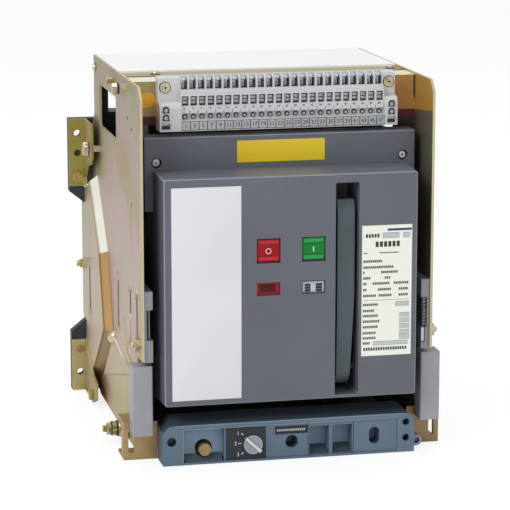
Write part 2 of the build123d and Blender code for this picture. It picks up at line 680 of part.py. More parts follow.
def racking_base():
    """The slate-coloured moulded beam that houses the racking drive, with its wells and holes."""
    beam = base_blank()
    y0 = FIELD_FACE - OVERCUT
    well_right = FIELD_LEFT + ROD_WELL_WIDTH
    beam -= block(FIELD_LEFT, well_right, y0, FIELD_FACE + ROD_WELL_DEPTH, FIELD_LOW, FIELD_HIGH)
    beam += ramp(FIELD_LEFT, well_right, ROD_WELL_DEPTH)
    beam -= rod_y(ROD_X, y0, FIELD_FACE + ROD_BORE_DEPTH, ROD_Z, ROD_BORE)
    beam -= block(
        DIAL_PLATE_LEFT, DIAL_PLATE_LEFT + DIAL_PLATE_WIDTH, y0, FIELD_FACE + DIAL_PLATE_POCKET,
        FIELD_LOW, FIELD_HIGH,
    )
    beam -= rod_y(DIAL_X, y0, FIELD_FACE + DIAL_SHAFT_LENGTH + OVERCUT, DIAL_Z, DIAL_SHAFT + SHAFT_GAP)
    beam -= block(
        CRANK_STRIP_LEFT, CRANK_STRIP_LEFT + CRANK_STRIP_WIDTH, y0, FIELD_FACE + CRANK_STRIP_THICK,
        CRANK_STRIP_LOW, CRANK_STRIP_LOW + CRANK_STRIP_HEIGHT,
    )
    beam -= rod_y(CRANK_X, y0, FIELD_FACE + CRANK_BORE_DEPTH, CRANK_Z, CRANK_BORE)
    for k in range(2):
        x0 = BAY_LEFT + k * (BAY_WIDTH + BAY_RIB)
        beam -= block(x0, x0 + BAY_WIDTH, y0, FIELD_FACE + BAY_DEPTH, BAY_LOW, BAY_HIGH)
        beam += ramp(x0 - RAMP_INSET, x0 + BAY_WIDTH + RAMP_INSET, BAY_DEPTH)
    for x in JOINT_LINES:
        beam -= block(x - JOINT_LINE_WIDTH, x, y0, FIELD_FACE + FIELD_DEPTH, FIELD_LOW, FIELD_HIGH)
    oval = block(
        OVAL_X - OVAL_WIDTH / 2, OVAL_X + OVAL_WIDTH / 2, y0, FIELD_FACE + OVAL_DEPTH,
        OVAL_Z - OVAL_HEIGHT / 2, OVAL_Z + OVAL_HEIGHT / 2,
    )
    beam -= fillet(oval.edges().filter_by(Axis.Y), OVAL_WIDTH / 2 - SHAFT_GAP)
    height, radius = LEFT_END_HOLE
    beam -= rod_y(-END_HOLE_X, BASE_FACE - OVERCUT, BASE_FACE + END_HOLE_DEPTH, height, radius)
    for height, radius in RIGHT_END_HOLES:
        beam -= rod_y(END_HOLE_X, BASE_FACE - OVERCUT, BASE_FACE + END_HOLE_DEPTH, height, radius)
    ring_y = BASE_FACE + RING_SET_BACK
    ring_x = BASE_HALF + RING_PROUD
    ring = rod_y(ring_x, ring_y, ring_y + RING_LENGTH, RING_Z, RING_RADIUS)
    ring += block(BASE_HALF, ring_x, ring_y, ring_y + RING_LENGTH, RING_Z - RING_RADIUS, RING_Z + RING_RADIUS)
    ring -= rod_y(ring_x, ring_y - OVERCUT, ring_y + RING_LENGTH + OVERCUT, RING_Z, RING_HOLE)
    return beam + ring


def dial_plate():
    """The black plate let into the base behind the dial."""
    y0 = FIELD_FACE + DIAL_PLATE_POCKET - DIAL_PLATE_THICK
    plate = block(
        DIAL_PLATE_LEFT + SEAT_GAP, DIAL_PLATE_LEFT + DIAL_PLATE_WIDTH - SEAT_GAP, y0, y0 + DIAL_PLATE_THICK,
        FIELD_LOW + SEAT_GAP, FIELD_HIGH - SEAT_GAP,
    )
    return plate - rod_y(DIAL_X, y0 - OVERCUT, y0 + DIAL_PLATE_THICK + OVERCUT, DIAL_Z, DIAL_SHAFT + SEAT_GAP)


def position_dial():
    """The grey position dial with its raised pointer bar and its shaft."""
    back = FIELD_FACE + DIAL_PLATE_POCKET - DIAL_PLATE_THICK - SEAT_GAP
    front = back - DIAL_THICK
    knob = rod_y(DIAL_X, front, back, DIAL_Z, DIAL_RADIUS)
    bar = Box(2 * (DIAL_RADIUS + DIAL_BAR_OVERHANG), 2 * DIAL_BAR_THICK, DIAL_BAR_WIDTH)
    shaft = rod_y(DIAL_X, back, FIELD_FACE + DIAL_SHAFT_LENGTH, DIAL_Z, DIAL_SHAFT)
    return knob + Pos(DIAL_X, front, DIAL_Z) * Rot(0, DIAL_BAR_TURN, 0) * bar + shaft


def drive_rod():
    """The plain round end of the racking drive that shows in the left well of the base."""
    return rod_y(ROD_X, FIELD_FACE, FIELD_FACE + ROD_BORE_DEPTH, ROD_Z, ROD_RADIUS)


def crank_strip():
    """The bare black strip over the crank socket."""
    return block(
        CRANK_STRIP_LEFT + SEAT_GAP, CRANK_STRIP_LEFT + CRANK_STRIP_WIDTH - SEAT_GAP,
        FIELD_FACE + SEAT_GAP, FIELD_FACE + CRANK_STRIP_THICK,
        CRANK_STRIP_LOW + SEAT_GAP, CRANK_STRIP_LOW + CRANK_STRIP_HEIGHT - SEAT_GAP,
    )


# Rear base, terminals and wall brackets
def ear(far, tip, plate_limit):
    """A left and a right ear behind the brackets, tapering towards the plate at the tip's height."""
    edge = -BULGE_OUTER - SEAT_GAP
    root = -PLATE_INNER + 6
    taper = BRACKET_FLANGE - 4
    turn = tip + taper if far > tip else tip - taper
    outline = [
        (-BRACKET_OUTER, far), (-BRACKET_OUTER, turn), (edge, tip), (edge, plate_limit),
        (root, plate_limit), (root, far),
    ]
    left = front_face(outline, EAR_FACE, EAR_FACE + EAR_THICK)
    return left + mirrored(left)


def rear_base():
    """The black moulded insulating base with four ears, side posts and a barrier beside every pole."""
    half = PLATE_INNER - SEAT_GAP
    y0 = FACE + REAR_BASE_FRONT
    base = block(-half, half, y0, EAR_FACE, REAR_BASE_LOW, REAR_BASE_TOP)
    inner = PLATE_INNER - 1
    base += block(-inner, inner, EAR_FACE, EAR_FACE + EAR_THICK, REAR_BASE_LOW, BRACKET_HIGH_TOP)
    post = block(-half, -half + POST_WIDTH, y0, y0 + POST_WIDTH, REAR_BASE_TOP, REAR_BASE_TOP + POST_RISE)
    base += post + mirrored(post)
    base += ear(BRACKET_HIGH_TOP, BRACKET_HIGH_LOW - EAR_DROP, BRACKET_HIGH_LOW + 2)
    base += ear(BRACKET_LOW_LOW, BRACKET_LOW_TOP + EAR_RISE, BRACKET_LOW_TOP - 3)
    rear = EAR_FACE + EAR_THICK
    for k in range(4):
        x = (k - 1.5) * POLE_PITCH
        base += block(
            x - BARRIER_THICK / 2, x + BARRIER_THICK / 2, rear, rear + BARRIER_DEPTH,
            TERMINAL_LOW_Z - BARRIER_MARGIN, TERMINAL_HIGH_Z + BARRIER_MARGIN,
        )
    for x in POLES:
        for z in (TERMINAL_LOW_Z, TERMINAL_HIGH_Z):
            base -= block(
                x - TERMINAL_WIDTH / 2, x + TERMINAL_WIDTH / 2, y0 - OVERCUT, rear + OVERCUT,
                z - TERMINAL_THICK / 2, z + TERMINAL_THICK / 2,
            )
    for x in (-BRACKET_HOLE_X, BRACKET_HOLE_X):
        for z in BRACKET_HOLES:
            base -= rod_y(x, EAR_FACE - OVERCUT, rear + OVERCUT, z, BRACKET_HOLE / 2 + OVERCUT)
    return base


def terminal_row(height):
    """Three copper bars, from the plug-in stab inside to the drilled terminal outside."""
    bars = []
    rear = FACE + TOTAL_DEPTH
    for x in POLES:
        bar = block(
            x - TERMINAL_WIDTH / 2, x + TERMINAL_WIDTH / 2, FACE + REAR_BASE_FRONT - CONTACT_REACH, rear,
            height - TERMINAL_THICK / 2, height + TERMINAL_THICK / 2,
        )
        for side in (-1, 1):
            bar -= rod_z(
                x + side * TERMINAL_HOLE_PITCH / 2, rear - TERMINAL_HOLE_EDGE,
                height - TERMINAL_THICK, height + TERMINAL_THICK, TERMINAL_HOLE / 2,
            )
        bars.append(bar)
    return Compound(children=bars)


def wall_bracket(low, high, leg_points, leg_outer, hole_heights):
    """A left folded bracket: flange against the base's ear, leg along the side plate."""
    y0, y1 = EAR_FACE - BRACKET_SHEET, EAR_FACE
    bracket = block(-BRACKET_OUTER, -leg_outer + BRACKET_SHEET, y0, y1, low, high)
    bracket += side_face(leg_points, -leg_outer, -leg_outer + BRACKET_SHEET)
    for z in hole_heights:
        bracket -= rod_y(-BRACKET_HOLE_X, y0 - OVERCUT, y1 + OVERCUT, z, BRACKET_HOLE / 2)
    return bracket


def upper_bracket():
    """The left upper bracket, with its leg tapering under the bulge."""
    rear = REAR_BASE_REAR
    front = rear - BRACKET_LEG
    points = [
        (rear, BRACKET_HIGH_LOW + 8), (rear - 22, BRACKET_HIGH_LOW + 28), (front + 12, BRACKET_HIGH_LOW + 34),
        (front, BRACKET_HIGH_LOW + 46), (front, BRACKET_HIGH_TOP), (rear, BRACKET_HIGH_TOP),
    ]
    holes = [BRACKET_HOLES[0], BRACKET_HIGH_TOP - BRACKET_BLIND_HOLE_DROP]
    return wall_bracket(BRACKET_HIGH_LOW, BRACKET_HIGH_TOP, points, BULGE_OUTER, holes)


def lower_bracket():
    """The left lower bracket, whose leg lies on the bulge."""
    rear = REAR_BASE_REAR
    front = rear - BRACKET_LOW_LEG
    points = [
        (rear, BRACKET_LOW_LOW), (rear, BRACKET_LOW_TOP), (rear - 24, BRACKET_LOW_TOP - 8),
        (rear - 66, BRACKET_LOW_TOP - 32), (front, BRACKET_LOW_TOP - 36),
        (front, BRACKET_LOW_LOW + 9), (front + 26, BRACKET_LOW_LOW),
    ]
    outer = BULGE_OUTER + BRACKET_SHEET
    return wall_bracket(BRACKET_LOW_LOW, BRACKET_LOW_TOP, points, outer, [BRACKET_HOLES[1]])


# Studs and nuts on the outside of a side plate
def side_bolts():
    """Studs and nuts that stand out of the left side plate; the lowest one is the earth bolt."""
    y, z = FACE + UPPER_STUD_DEPTH, BRACKET_HIGH_LOW + UPPER_STUD_RISE
    upper = rod_x(-PLATE_OUTER, -BULGE_OUTER + BRACKET_SHEET, y, z, STUD_RADIUS)
    upper += hex_x(-BULGE_OUTER - NUT_THICK, -BULGE_OUTER, y, z, NUT)
    y = FACE + EARTH_DEPTH
    washer = -PLATE_OUTER - WASHER_THICK
    earth = rod_x(washer, -PLATE_OUTER, y, EARTH_Z, WASHER_RADIUS)
    earth += hex_x(washer - 2 * NUT_THICK, washer, y, EARTH_Z, NUT)
    earth += rod_x(washer - 2 * NUT_THICK - STUD_END, washer - 2 * NUT_THICK, y, EARTH_Z, STUD_RADIUS)
    outer = -PLATE_OUTER - SMALL_NUT_THICK
    nut = hex_x(outer, -PLATE_OUTER, FACE + FRONT_NUT_DEPTH, FRONT_NUT_Z, SMALL_NUT)
    bolt = hex_x(outer, -PLATE_OUTER, FACE + TOP_BOLT_DEPTH, PLATE_HEIGHT - TOP_BOLT_DROP, SMALL_NUT)
    return Compound(children=[upper, earth, nut, bolt])


# Breaker: mask, its plates, buttons and handle
def mask_blank():
    """The mask before its recesses: raised panel with a softened edge, and the flange with two wings."""
    high = MASK_HIGH - MASK_LOW
    middle = (MASK_LOW + MASK_HIGH) / 2
    front = Plane(origin=(0, FACE, middle), x_dir=(1, 0, 0), z_dir=(0, -1, 0))
    back = Plane(origin=(0, FLANGE_FACE, middle), x_dir=(1, 0, 0), z_dir=(0, -1, 0))
    panel = loft([
        front * RectangleRounded(2 * MASK_HALF, high, MASK_CORNER),
        back * RectangleRounded(2 * (MASK_HALF + MASK_DRAFT), high + 2 * MASK_DRAFT, MASK_CORNER),
    ])
    panel = chamfer(panel.faces().sort_by(Axis.Y)[0].edges(), MASK_EDGE)
    body, low = MASK_HALF + MASK_DRAFT, MASK_LOW - MASK_DRAFT
    wing_low = FLANGE_TOP - FLANGE_WING
    flange = front_face(
        [(-body, low), (-body, wing_low), (-FLANGE_HALF, wing_low), (-FLANGE_HALF, FLANGE_TOP),
         (FLANGE_HALF, FLANGE_TOP), (FLANGE_HALF, wing_low), (body, wing_low), (body, low)],
        FLANGE_FACE, HOUSING_FACE,
    )
    return panel + flange


def blank_box():
    """Left edge, width, foot and height of the white panel's recess."""
    low = MASK_LOW + BLANK_MARGIN_LOW
    return BLANK_LEFT, BLANK_WIDTH, low, MASK_HIGH - BLANK_MARGIN_HIGH - low


def nameplate_box():
    """Left edge, width, foot and height of the nameplate's recess."""
    return NAMEPLATE_LEFT, NAMEPLATE_WIDTH, MASK_HIGH - NAMEPLATE_DROP - NAMEPLATE_HEIGHT, NAMEPLATE_HEIGHT


def front_mask():
    """The grey moulded mask with all its recesses, windows and the long slot of the lever."""
    mask = mask_blank()
    for left, width, low, height in (blank_box(), nameplate_box()):
        mask -= block(left, left + width, FACE - OVERCUT, FACE + INSET_DEPTH, low, low + height)
    half = BUTTON_WINDOW / 2
    well_back = FACE + BUTTON_SUNK + BUTTON_LENGTH + BUTTON_TRAVEL + OVERCUT
    for x in (OFF_BUTTON_X, ON_BUTTON_X):
        mask -= block(x - half, x + half, FACE - OVERCUT, well_back, BUTTON_Z - half, BUTTON_Z + half)
        mask -= block(
            x - INDICATOR_WIDTH / 2, x + INDICATOR_WIDTH / 2,
            FACE - OVERCUT, FACE + INDICATOR_SUNK + INDICATOR_THICK,
            INDICATOR_Z - INDICATOR_HEIGHT / 2, INDICATOR_Z + INDICATOR_HEIGHT / 2,
        )
    slot = block(SLOT_LEFT, SLOT_LEFT + SLOT_WIDTH, FACE - OVERCUT, FACE + SLOT_DEPTH, SLOT_LOW, SLOT_HIGH)
    mask -= fillet(slot.edges().filter_by(Axis.Y), SLOT_CORNER)
    mask -= rod_x(
        SLOT_LEFT - HANDLE_PIN_SEAT - OVERCUT, SLOT_LEFT + SLOT_WIDTH + HANDLE_PIN_SEAT + OVERCUT,
        FACE + HANDLE_PIVOT_SUNK, HANDLE_PIVOT_Z, HANDLE_PIN + HANDLE_PIN_GAP,
    )
    screw_back = FLANGE_FACE + MASK_SCREW_WELL_DEPTH
    for x in (-MASK_SCREW_X, MASK_SCREW_X):
        mask -= rod_y(x, FLANGE_FACE - OVERCUT, screw_back, MASK_SCREW_Z, MASK_SCREW_WELL)
    return mask


def inset_plate(left, width, low, height):
    """A thin plate laid in its recess in the mask."""
    y1 = FACE + INSET_DEPTH
    return block(
        left + SEAT_GAP, left + width - SEAT_GAP, y1 - INSET_PLATE, y1,
        low + SEAT_GAP, low + height - SEAT_GAP,
    )


def indicator(x):
    """A flat window of the charge or state indicator."""
    y0 = FACE + INDICATOR_SUNK
    half, tall = INDICATOR_WIDTH / 2 - SEAT_GAP, INDICATOR_HEIGHT / 2 - SEAT_GAP
    return block(x - half, x + half, y0, y0 + INDICATOR_THICK, INDICATOR_Z - tall, INDICATOR_Z + tall)


def warning_label():
    """The plain yellow label on the flange."""
    half, tall = LABEL_WIDTH / 2, LABEL_HEIGHT / 2
    middle = FLANGE_TOP - LABEL_DROP
    return block(-half, half, FLANGE_FACE - LABEL_THICK, FLANGE_FACE, middle - tall, middle + tall)


def mask_screws():
    """Two round screw heads at the bottom of their wells in the flange."""
    y1 = FLANGE_FACE + MASK_SCREW_WELL_DEPTH
    heads = [
        rod_y(x, y1 - MASK_SCREW_HEAD_THICK, y1, MASK_SCREW_Z, MASK_SCREW_HEAD)
        for x in (-MASK_SCREW_X, MASK_SCREW_X)
    ]
    return Compound(children=heads)


def push_button(x):
    """A square button cap with rounded corners that slides straight into the mask."""
    y0 = FACE + BUTTON_SUNK
    half = BUTTON_WINDOW / 2 - BUTTON_GAP
    cap = block(x - half, x + half, y0, y0 + BUTTON_LENGTH, BUTTON_Z - half, BUTTON_Z + half)
    return fillet(cap.edges().filter_by(Axis.Y), BUTTON_CORNER)


def charging_handle():
    """The charging handle: hub on its pin, and the long lever that fills the slot."""
    middle = SLOT_LEFT + SLOT_WIDTH / 2
    x0, x1 = middle - HANDLE_WIDTH / 2, middle + HANDLE_WIDTH / 2
    pivot_y, pivot_z = FACE + HANDLE_PIVOT_SUNK, HANDLE_PIVOT_Z
    front, back = HANDLE_FRONT, HANDLE_FRONT + HANDLE_THICK
    side = [
        (HANDLE_PIVOT_SUNK - HANDLE_HUB, pivot_z), (front, pivot_z + 3 * HANDLE_HUB),
        (front, HANDLE_TOP - HANDLE_HUB / 2), (front + HANDLE_PIN, HANDLE_TOP),
        (back - HANDLE_PIN / 2, HANDLE_TOP), (back, HANDLE_TOP - HANDLE_PIN),
        (back, pivot_z + 3.5 * HANDLE_HUB),
        (HANDLE_PIVOT_SUNK + 0.9 * HANDLE_HUB, pivot_z + 0.4 * HANDLE_HUB),
    ]
    narrowing = front_face(
        [(x1 - HANDLE_NARROWING, SLOT_LOW - HANDLE_HUB), (x1 + OVERCUT, SLOT_LOW - HANDLE_HUB),
         (x1 + OVERCUT, pivot_z + HANDLE_NARROW_TO), (x1, pivot_z + HANDLE_NARROW_TO)],
        FACE - OVERCUT, FACE + SLOT_DEPTH,
    )
    handle = rod_x(x0, x1, pivot_y, pivot_z, HANDLE_HUB) + side_face(side, x0, x1) - narrowing
    return handle + rod_x(
        SLOT_LEFT - HANDLE_PIN_SEAT, SLOT_LEFT + SLOT_WIDTH + HANDLE_PIN_SEAT, pivot_y, pivot_z, HANDLE_PIN,
    )


# Breaker: housing, arc chutes, runners and plug-in contacts
def breaker_housing():
    """The black moulded housing behind the mask, with a seam between the poles."""
    body = block(-HOUSING_HALF, HOUSING_HALF, HOUSING_FACE, FACE + HOUSING_REAR, HOUSING_LOW, HOUSING_TOP)
    for x in (-POLE_PITCH / 2, POLE_PITCH / 2):
        body -= block(
            x - HOUSING_SEAM / 2, x + HOUSING_SEAM / 2, FACE + CHUTE_FRONT, FACE + HOUSING_REAR + OVERCUT,
            HOUSING_TOP - HOUSING_SEAM_DEPTH, HOUSING_TOP + OVERCUT,
        )
    return body


def arc_chutes():
    """Three arc chute caps with their gas slots."""
    caps = []
    y0 = FACE + CHUTE_FRONT
    top = HOUSING_TOP + CHUTE_RISE
    half = CHUTE_WIDTH / 2
    for x in POLES:
        cap = block(x - half, x + half, y0, y0 + CHUTE_DEPTH, HOUSING_TOP, top)
        for k in range(CHUTE_SLOTS):
            y = y0 + (k + 1) * CHUTE_SLOT_PITCH
            cap -= block(
                x - half + CHUTE_MARGIN, x + half - CHUTE_MARGIN,
                y - CHUTE_SLOT_WIDTH / 2, y + CHUTE_SLOT_WIDTH / 2, top - CHUTE_SLOT_DEPTH, top + OVERCUT,
            )
        caps.append(cap)
    return Compound(children=caps)


def rail_lug():
    """The left runner that carries the breaker in its rail."""
    low = RAIL_LOW + RAIL_LEDGE + SEAT_GAP
    return block(
        -PLATE_INNER + RAIL_WEB + SEAT_GAP, -HOUSING_HALF, HOUSING_FACE, FACE + HOUSING_REAR,
        low, low + LUG_HEIGHT,
    )


def contact_clusters():
    """Sprung jaws at the back of the breaker, two to each stab of the base."""
    jaws = []
    y0 = FACE + HOUSING_REAR
    for x in POLES:
        for z in (TERMINAL_LOW_Z, TERMINAL_HIGH_Z):
            inner = TERMINAL_THICK / 2 + SEAT_GAP
            for z0, z1 in ((z + inner, z + inner + JAW_THICK), (z - inner - JAW_THICK, z - inner)):
                jaws.append(block(x - JAW_WIDTH / 2, x + JAW_WIDTH / 2, y0, y0 + JAW_LENGTH, z0, z1))
    return Compound(children=jaws)


# Build the cradle
write_pair("side_plate", side_plate())
write_pair("foot", foot())
write("floor_tray", floor_tray())
write_pair("guide_rail", guide_rail())
write_pair("end_block", end_block())
write("top_crossbeam", top_crossbeam())
write("insulating_board", insulating_board())
write("cover_angle", cover_angle())
write("top_cover", top_cover())
write("terminal_strip", terminal_strip())
write("rear_base", rear_base())
write("upper_terminals", terminal_row(TERMINAL_HIGH_Z))
write("lower_terminals", terminal_row(TERMINAL_LOW_Z))
write_pair("upper_bracket", upper_bracket())
write_pair("lower_bracket", lower_bracket())
write_pair("side_bolts", side_bolts())
write("racking_base", racking_base())
write("dial_plate", dial_plate())
write("drive_rod", drive_rod())
write("crank_strip", crank_strip())
write("position_dial", position_dial())

# Build the breaker
write("front_mask", front_mask())
write("blank_panel", inset_plate(*blank_box()))
write("nameplate", inset_plate(*nameplate_box()))
write("charge_indicator", indicator(OFF_BUTTON_X))
write("state_indicator", indicator(ON_BUTTON_X))
write("warning_label", warning_label())
write("mask_screws", mask_screws())
write("off_button", push_button(OFF_BUTTON_X))
write("on_button", push_button(ON_BUTTON_X))
write("charging_handle", charging_handle())
write("breaker_housing", breaker_housing())
write("arc_chutes", arc_chutes())
write_pair("rail_lug", rail_lug())
write("contact_clusters", contact_clusters())
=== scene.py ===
# %% [markdown]
# A draw-out air circuit breaker is a grey moulded breaker that slides in a cradle of
# zinc-plated sheet steel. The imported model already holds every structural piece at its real
# size. This file dresses it: each surface gets the finish of the real material, and the small
# things that the eye looks for, such as screws, markings and wire clamps, are modelled here.

import math

import bmesh
import bpy
from mathutils import Matrix, Vector


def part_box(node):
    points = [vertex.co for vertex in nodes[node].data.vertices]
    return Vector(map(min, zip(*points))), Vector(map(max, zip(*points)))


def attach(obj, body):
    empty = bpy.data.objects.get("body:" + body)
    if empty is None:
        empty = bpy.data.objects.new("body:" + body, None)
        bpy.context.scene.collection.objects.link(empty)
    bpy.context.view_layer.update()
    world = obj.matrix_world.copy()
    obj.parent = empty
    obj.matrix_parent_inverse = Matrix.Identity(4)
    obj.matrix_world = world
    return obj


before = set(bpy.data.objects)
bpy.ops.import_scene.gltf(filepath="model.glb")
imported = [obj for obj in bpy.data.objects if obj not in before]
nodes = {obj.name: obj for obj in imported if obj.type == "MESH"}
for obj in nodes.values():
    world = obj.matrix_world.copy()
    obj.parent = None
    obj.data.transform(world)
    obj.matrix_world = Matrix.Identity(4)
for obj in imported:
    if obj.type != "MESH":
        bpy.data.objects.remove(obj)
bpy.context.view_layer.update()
MM = 0.001
print("nodes in the frame:", len(nodes))

# %% [markdown]
# The camera stands where the photograph was taken from: a little left of the middle, slightly
# above, and about 2.7 m away with a long lens, so that upright edges stay almost parallel. The
# mask's face is the plane that the distances are measured from.

# %% The camera at the photograph's angle
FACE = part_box("front_mask")[0].y
AZIMUTH = math.radians(-12.47)
ELEVATION = math.radians(11.434)
DISTANCE = 2.6528
TARGET = Vector((-0.0428, FACE, 0.2424))
SENSOR = 36.0
FOCAL_PIXELS = 2363.0
FRAME_PIXELS = 510.0

back = Vector((
    math.sin(AZIMUTH) * math.cos(ELEVATION),
    -math.cos(AZIMUTH) * math.cos(ELEVATION),
    math.sin(ELEVATION),
))
camera_data = bpy.data.cameras.new("camera")
camera_data.sensor_width = SENSOR
camera_data.lens = FOCAL_PIXELS * SENSOR / FRAME_PIXELS
camera_data.clip_end = 50.0
camera = bpy.data.objects.new("camera", camera_data)
bpy.context.scene.collection.objects.link(camera)
camera.location = TARGET + back * DISTANCE
camera.rotation_euler = back.to_track_quat("Z", "Y").to_euler()
bpy.context.scene.camera = camera
print("lens in mm:", round(camera_data.lens, 1))

# %% [markdown]
# A product picture on white is lit softly from nearly everywhere. One large key light stands
# high on the left, a weaker one fills from the right, and a third lights the top from behind.

# %% Soft studio light
AIM_HEIGHT = 0.2


def area_light(name, place, size, power):
    """A square soft light that looks at the middle of the cradle."""
    data = bpy.data.lights.new(name, "AREA")
    data.size = size
    data.energy = power
    light = bpy.data.objects.new(name, data)
    bpy.context.scene.collection.objects.link(light)
    light.location = Vector(place)
    aim = light.location - Vector((0.0, 0.0, AIM_HEIGHT))
    light.rotation_euler = aim.to_track_quat("Z", "Y").to_euler()


area_light("key_light", (-2.2, -1.6, 2.4), 1.2, 37.0)
area_light("fill_light", (1.6, -2.8, 1.4), 2.0, 9.0)
area_light("top_light", (0.3, 0.9, 2.8), 1.6, 21.0)
print("lights:", len(bpy.data.lights))

# %% [markdown]
# A pale sky gives the rest of the light and keeps the shaded sides open. The plain Standard view
# keeps the studio white as white, where the filmic one would turn it grey.

# %% Pale sky and plain view
SKY_COLOUR = (0.97, 0.98, 1.0, 1.0)
SKY_STRENGTH = 0.56

world = bpy.data.worlds.new("studio")
bpy.context.scene.world = world
world.use_nodes = True
sky = world.node_tree.nodes["Background"]
sky.inputs["Color"].default_value = SKY_COLOUR
sky.inputs["Strength"].default_value = SKY_STRENGTH
bpy.context.scene.view_settings.view_transform = "Standard"
print("sky strength:", SKY_STRENGTH)

# %% [markdown]
# Colours are written as the sRGB hex values that a paint card would give. Blender computes in
# linear light, so one function turns them. Another fills a node's inputs: a socket is linked, a
# hex colour is turned, and any other value is set. The one that adds a node uses both and hands
# back one output, which keeps every material down to a few readable lines.

# %% Helpers for materials
def linear(hex_colour):
    """An sRGB hex colour as linear RGBA."""
    parts = [int(hex_colour[i:i + 2], 16) / 255 for i in (1, 3, 5)]
    light = [c / 12.92 if c <= 0.04045 else ((c + 0.055) / 1.055) ** 2.4 for c in parts]
    return (*light, 1.0)


def fill(tree, node, inputs):
    """Links or sets the inputs of a node."""
    for name, value in inputs.items():
        if isinstance(value, bpy.types.NodeSocket):
            tree.links.new(value, node.inputs[name])
        elif isinstance(value, str):
            node.inputs[name].default_value = linear(value)
        else:
            node.inputs[name].default_value = value


def add(tree, kind, inputs, output=0, stops=(), **settings):
    """Adds a node with its inputs and settings, and a ramp's (position, colour) stops."""
    made = tree.nodes.new("ShaderNode" + kind)
    for name, value in settings.items():
        setattr(made, name, value)
    fill(tree, made, inputs)
    if stops:
        elements = made.color_ramp.elements
        while len(elements) < len(stops):
            elements.new(0.5)
        for element, (position, hex_colour) in zip(elements, stops):
            element.position = position
            element.color = linear(hex_colour)
    return made.outputs[output]


def start_material(name):
    """An empty material with its shader and its pattern coordinates in metres."""
    material = bpy.data.materials.new(name)
    material.use_nodes = True
    tree = material.node_tree
    return material, tree, tree.nodes["Principled BSDF"], add(tree, "TexCoord", {}, "Object")


print("middle grey in linear light:", round(linear("#808080")[0], 3))

# %% [markdown]
# Most finishes share two parts. One is a slow noise whose patches drift through a few close
# colours, spread over the middle of its range, where most of it lies. The other is a fine noise
# that serves as a height, for grain, pits or orange peel. Their sizes are given in millimetres,
# and a noise texture's scale counts features per metre.

# %% Drifting colours and fine relief
def per_metre(size_mm):
    """The noise scale that makes a feature about this many millimetres across."""
    return 1000.0 / size_mm


def drifting(tree, place, size_mm, colours, **noise):
    """A noise with patches of this size, and the colours that it drifts through."""
    patches = add(tree, "TexNoise", {"Vector": place, "Scale": per_metre(size_mm), **noise}, "Fac")
    last = len(colours) - 1
    stops = [(0.32 + 0.36 * k / last, colour) for k, colour in enumerate(colours)]
    return patches, add(tree, "ValToRGB", {"Fac": patches}, "Color", stops)


def relief(tree, place, size_mm, detail, strength, deep_mm=0.1):
    """A fine bump of this size and depth."""
    noise = {"Vector": place, "Scale": per_metre(size_mm), "Detail": detail}
    height = add(tree, "TexNoise", noise, "Fac")
    bump = {"Height": height, "Strength": strength, "Distance": deep_mm * MM}
    return add(tree, "Bump", bump, "Normal")


print("noise scale of a feature of 2 mm:", per_metre(2.0))

# %% [markdown]
# The cradle is mild steel with a zinc coat that was dipped in chromate. The dip leaves a thin
# film whose colour drifts from pink-grey to olive and straw over a few centimetres. A real
# metal reflects its surroundings in its own colour, so it is metallic, and its gloss drifts with
# the film. A faint fine grain stands for the rolled sheet.

# %% Passivated zinc on sheet steel
SHEET_GRAIN_MM = 2.2


def passivated_zinc(name, colours, patch_mm, roughness=0.42, metallic=0.7, film_and_painted_light=None):
    """Zinc plate whose chromate film drifts through the given colours."""
    material, tree, shader, place = start_material(name)
    drift, colour = drifting(tree, place, patch_mm, colours, Detail=2.5, Roughness=0.45, Distortion=0.8)
    # The film's own colours, with painted light laid over them where a finish has it.
    if film_and_painted_light:
        colour = film_and_painted_light(tree, place, colour)
    gloss = add(tree, "MapRange", {
        "Value": drift, "From Min": 0.3, "From Max": 0.7,
        "To Min": roughness - 0.06, "To Max": roughness + 0.08,
    }, "Result")
    fill(tree, shader, {
        "Base Color": colour, "Roughness": gloss, "Metallic": metallic,
        "Normal": relief(tree, place, SHEET_GRAIN_MM, 3.0, 0.06, 0.2),
    })
    return material


print("grain of the sheet in mm:", SHEET_GRAIN_MM)

# %% [markdown]
# Colour on the sheet also follows its shape: slopes and cut edges carry a painted highlight, and
# bends and inner faces carry painted shade. The flat surface normal tells a face from a slope and
# from an edge. A mask is 1 on such a place, and a layer of colour is laid over the ones below it
# as far as its mask lets it. A Mix node has several sockets of the same name, so its colour
# sockets are reached by their numbers.

# %% Masks and layers
MASK, UNDER, OVER, MIXED = 0, 6, 7, 2


def normal_parts(tree):
    """The three parts of the flat surface normal."""
    normal = add(tree, "NewGeometry", {}, "True Normal")
    return add(tree, "SeparateXYZ", {"Vector": normal}).node.outputs


def between(tree, value, low, high=2.0):
    """1 where the value lies between two limits, and 0 elsewhere."""
    above = add(tree, "Math", {0: value, 1: low}, operation="GREATER_THAN")
    below = add(tree, "Math", {0: value, 1: high}, operation="LESS_THAN")
    return add(tree, "Math", {0: above, 1: below}, operation="MULTIPLY")


def laid_over(tree, colour, *layers):
    """Lays colours over a first one, each given with its mask."""
    for mask, layer in layers:
        inputs = {MASK: mask, UNDER: colour, OVER: layer}
        colour = add(tree, "Mix", inputs, MIXED, data_type="RGBA")
    return colour


print("sockets of a colour mix:", MASK, UNDER, OVER, "and output", MIXED)

# %% [markdown]
# The side plates have a long pressed bulge. Its slopes carry a painted highlight, brown to nearly
# white with the upward tilt, and painted shade where the sheet bends, at the plate's own level
# and at the bulge's. Two ramps are multiplied, one for the tilt and one for the reach outwards.

# %% Painted highlight and shade on pressed slopes
PLATE_REACH, BULGE_REACH = 0.170, 0.181
SHEEN_BY_TILT = (
    (0.25, "#A58A66"), (0.55, "#BC9660"), (0.66, "#C49E6A"), (0.71, "#FFFDF0"), (1.0, "#FFFDF0"),
)
SHADE_AT_BENDS = (
    (0.0, "#C4B88E"), (0.1, "#FFFFFF"), (0.74, "#FFFFFF"), (0.88, "#D2C69E"), (1.0, "#A89B72"),
)


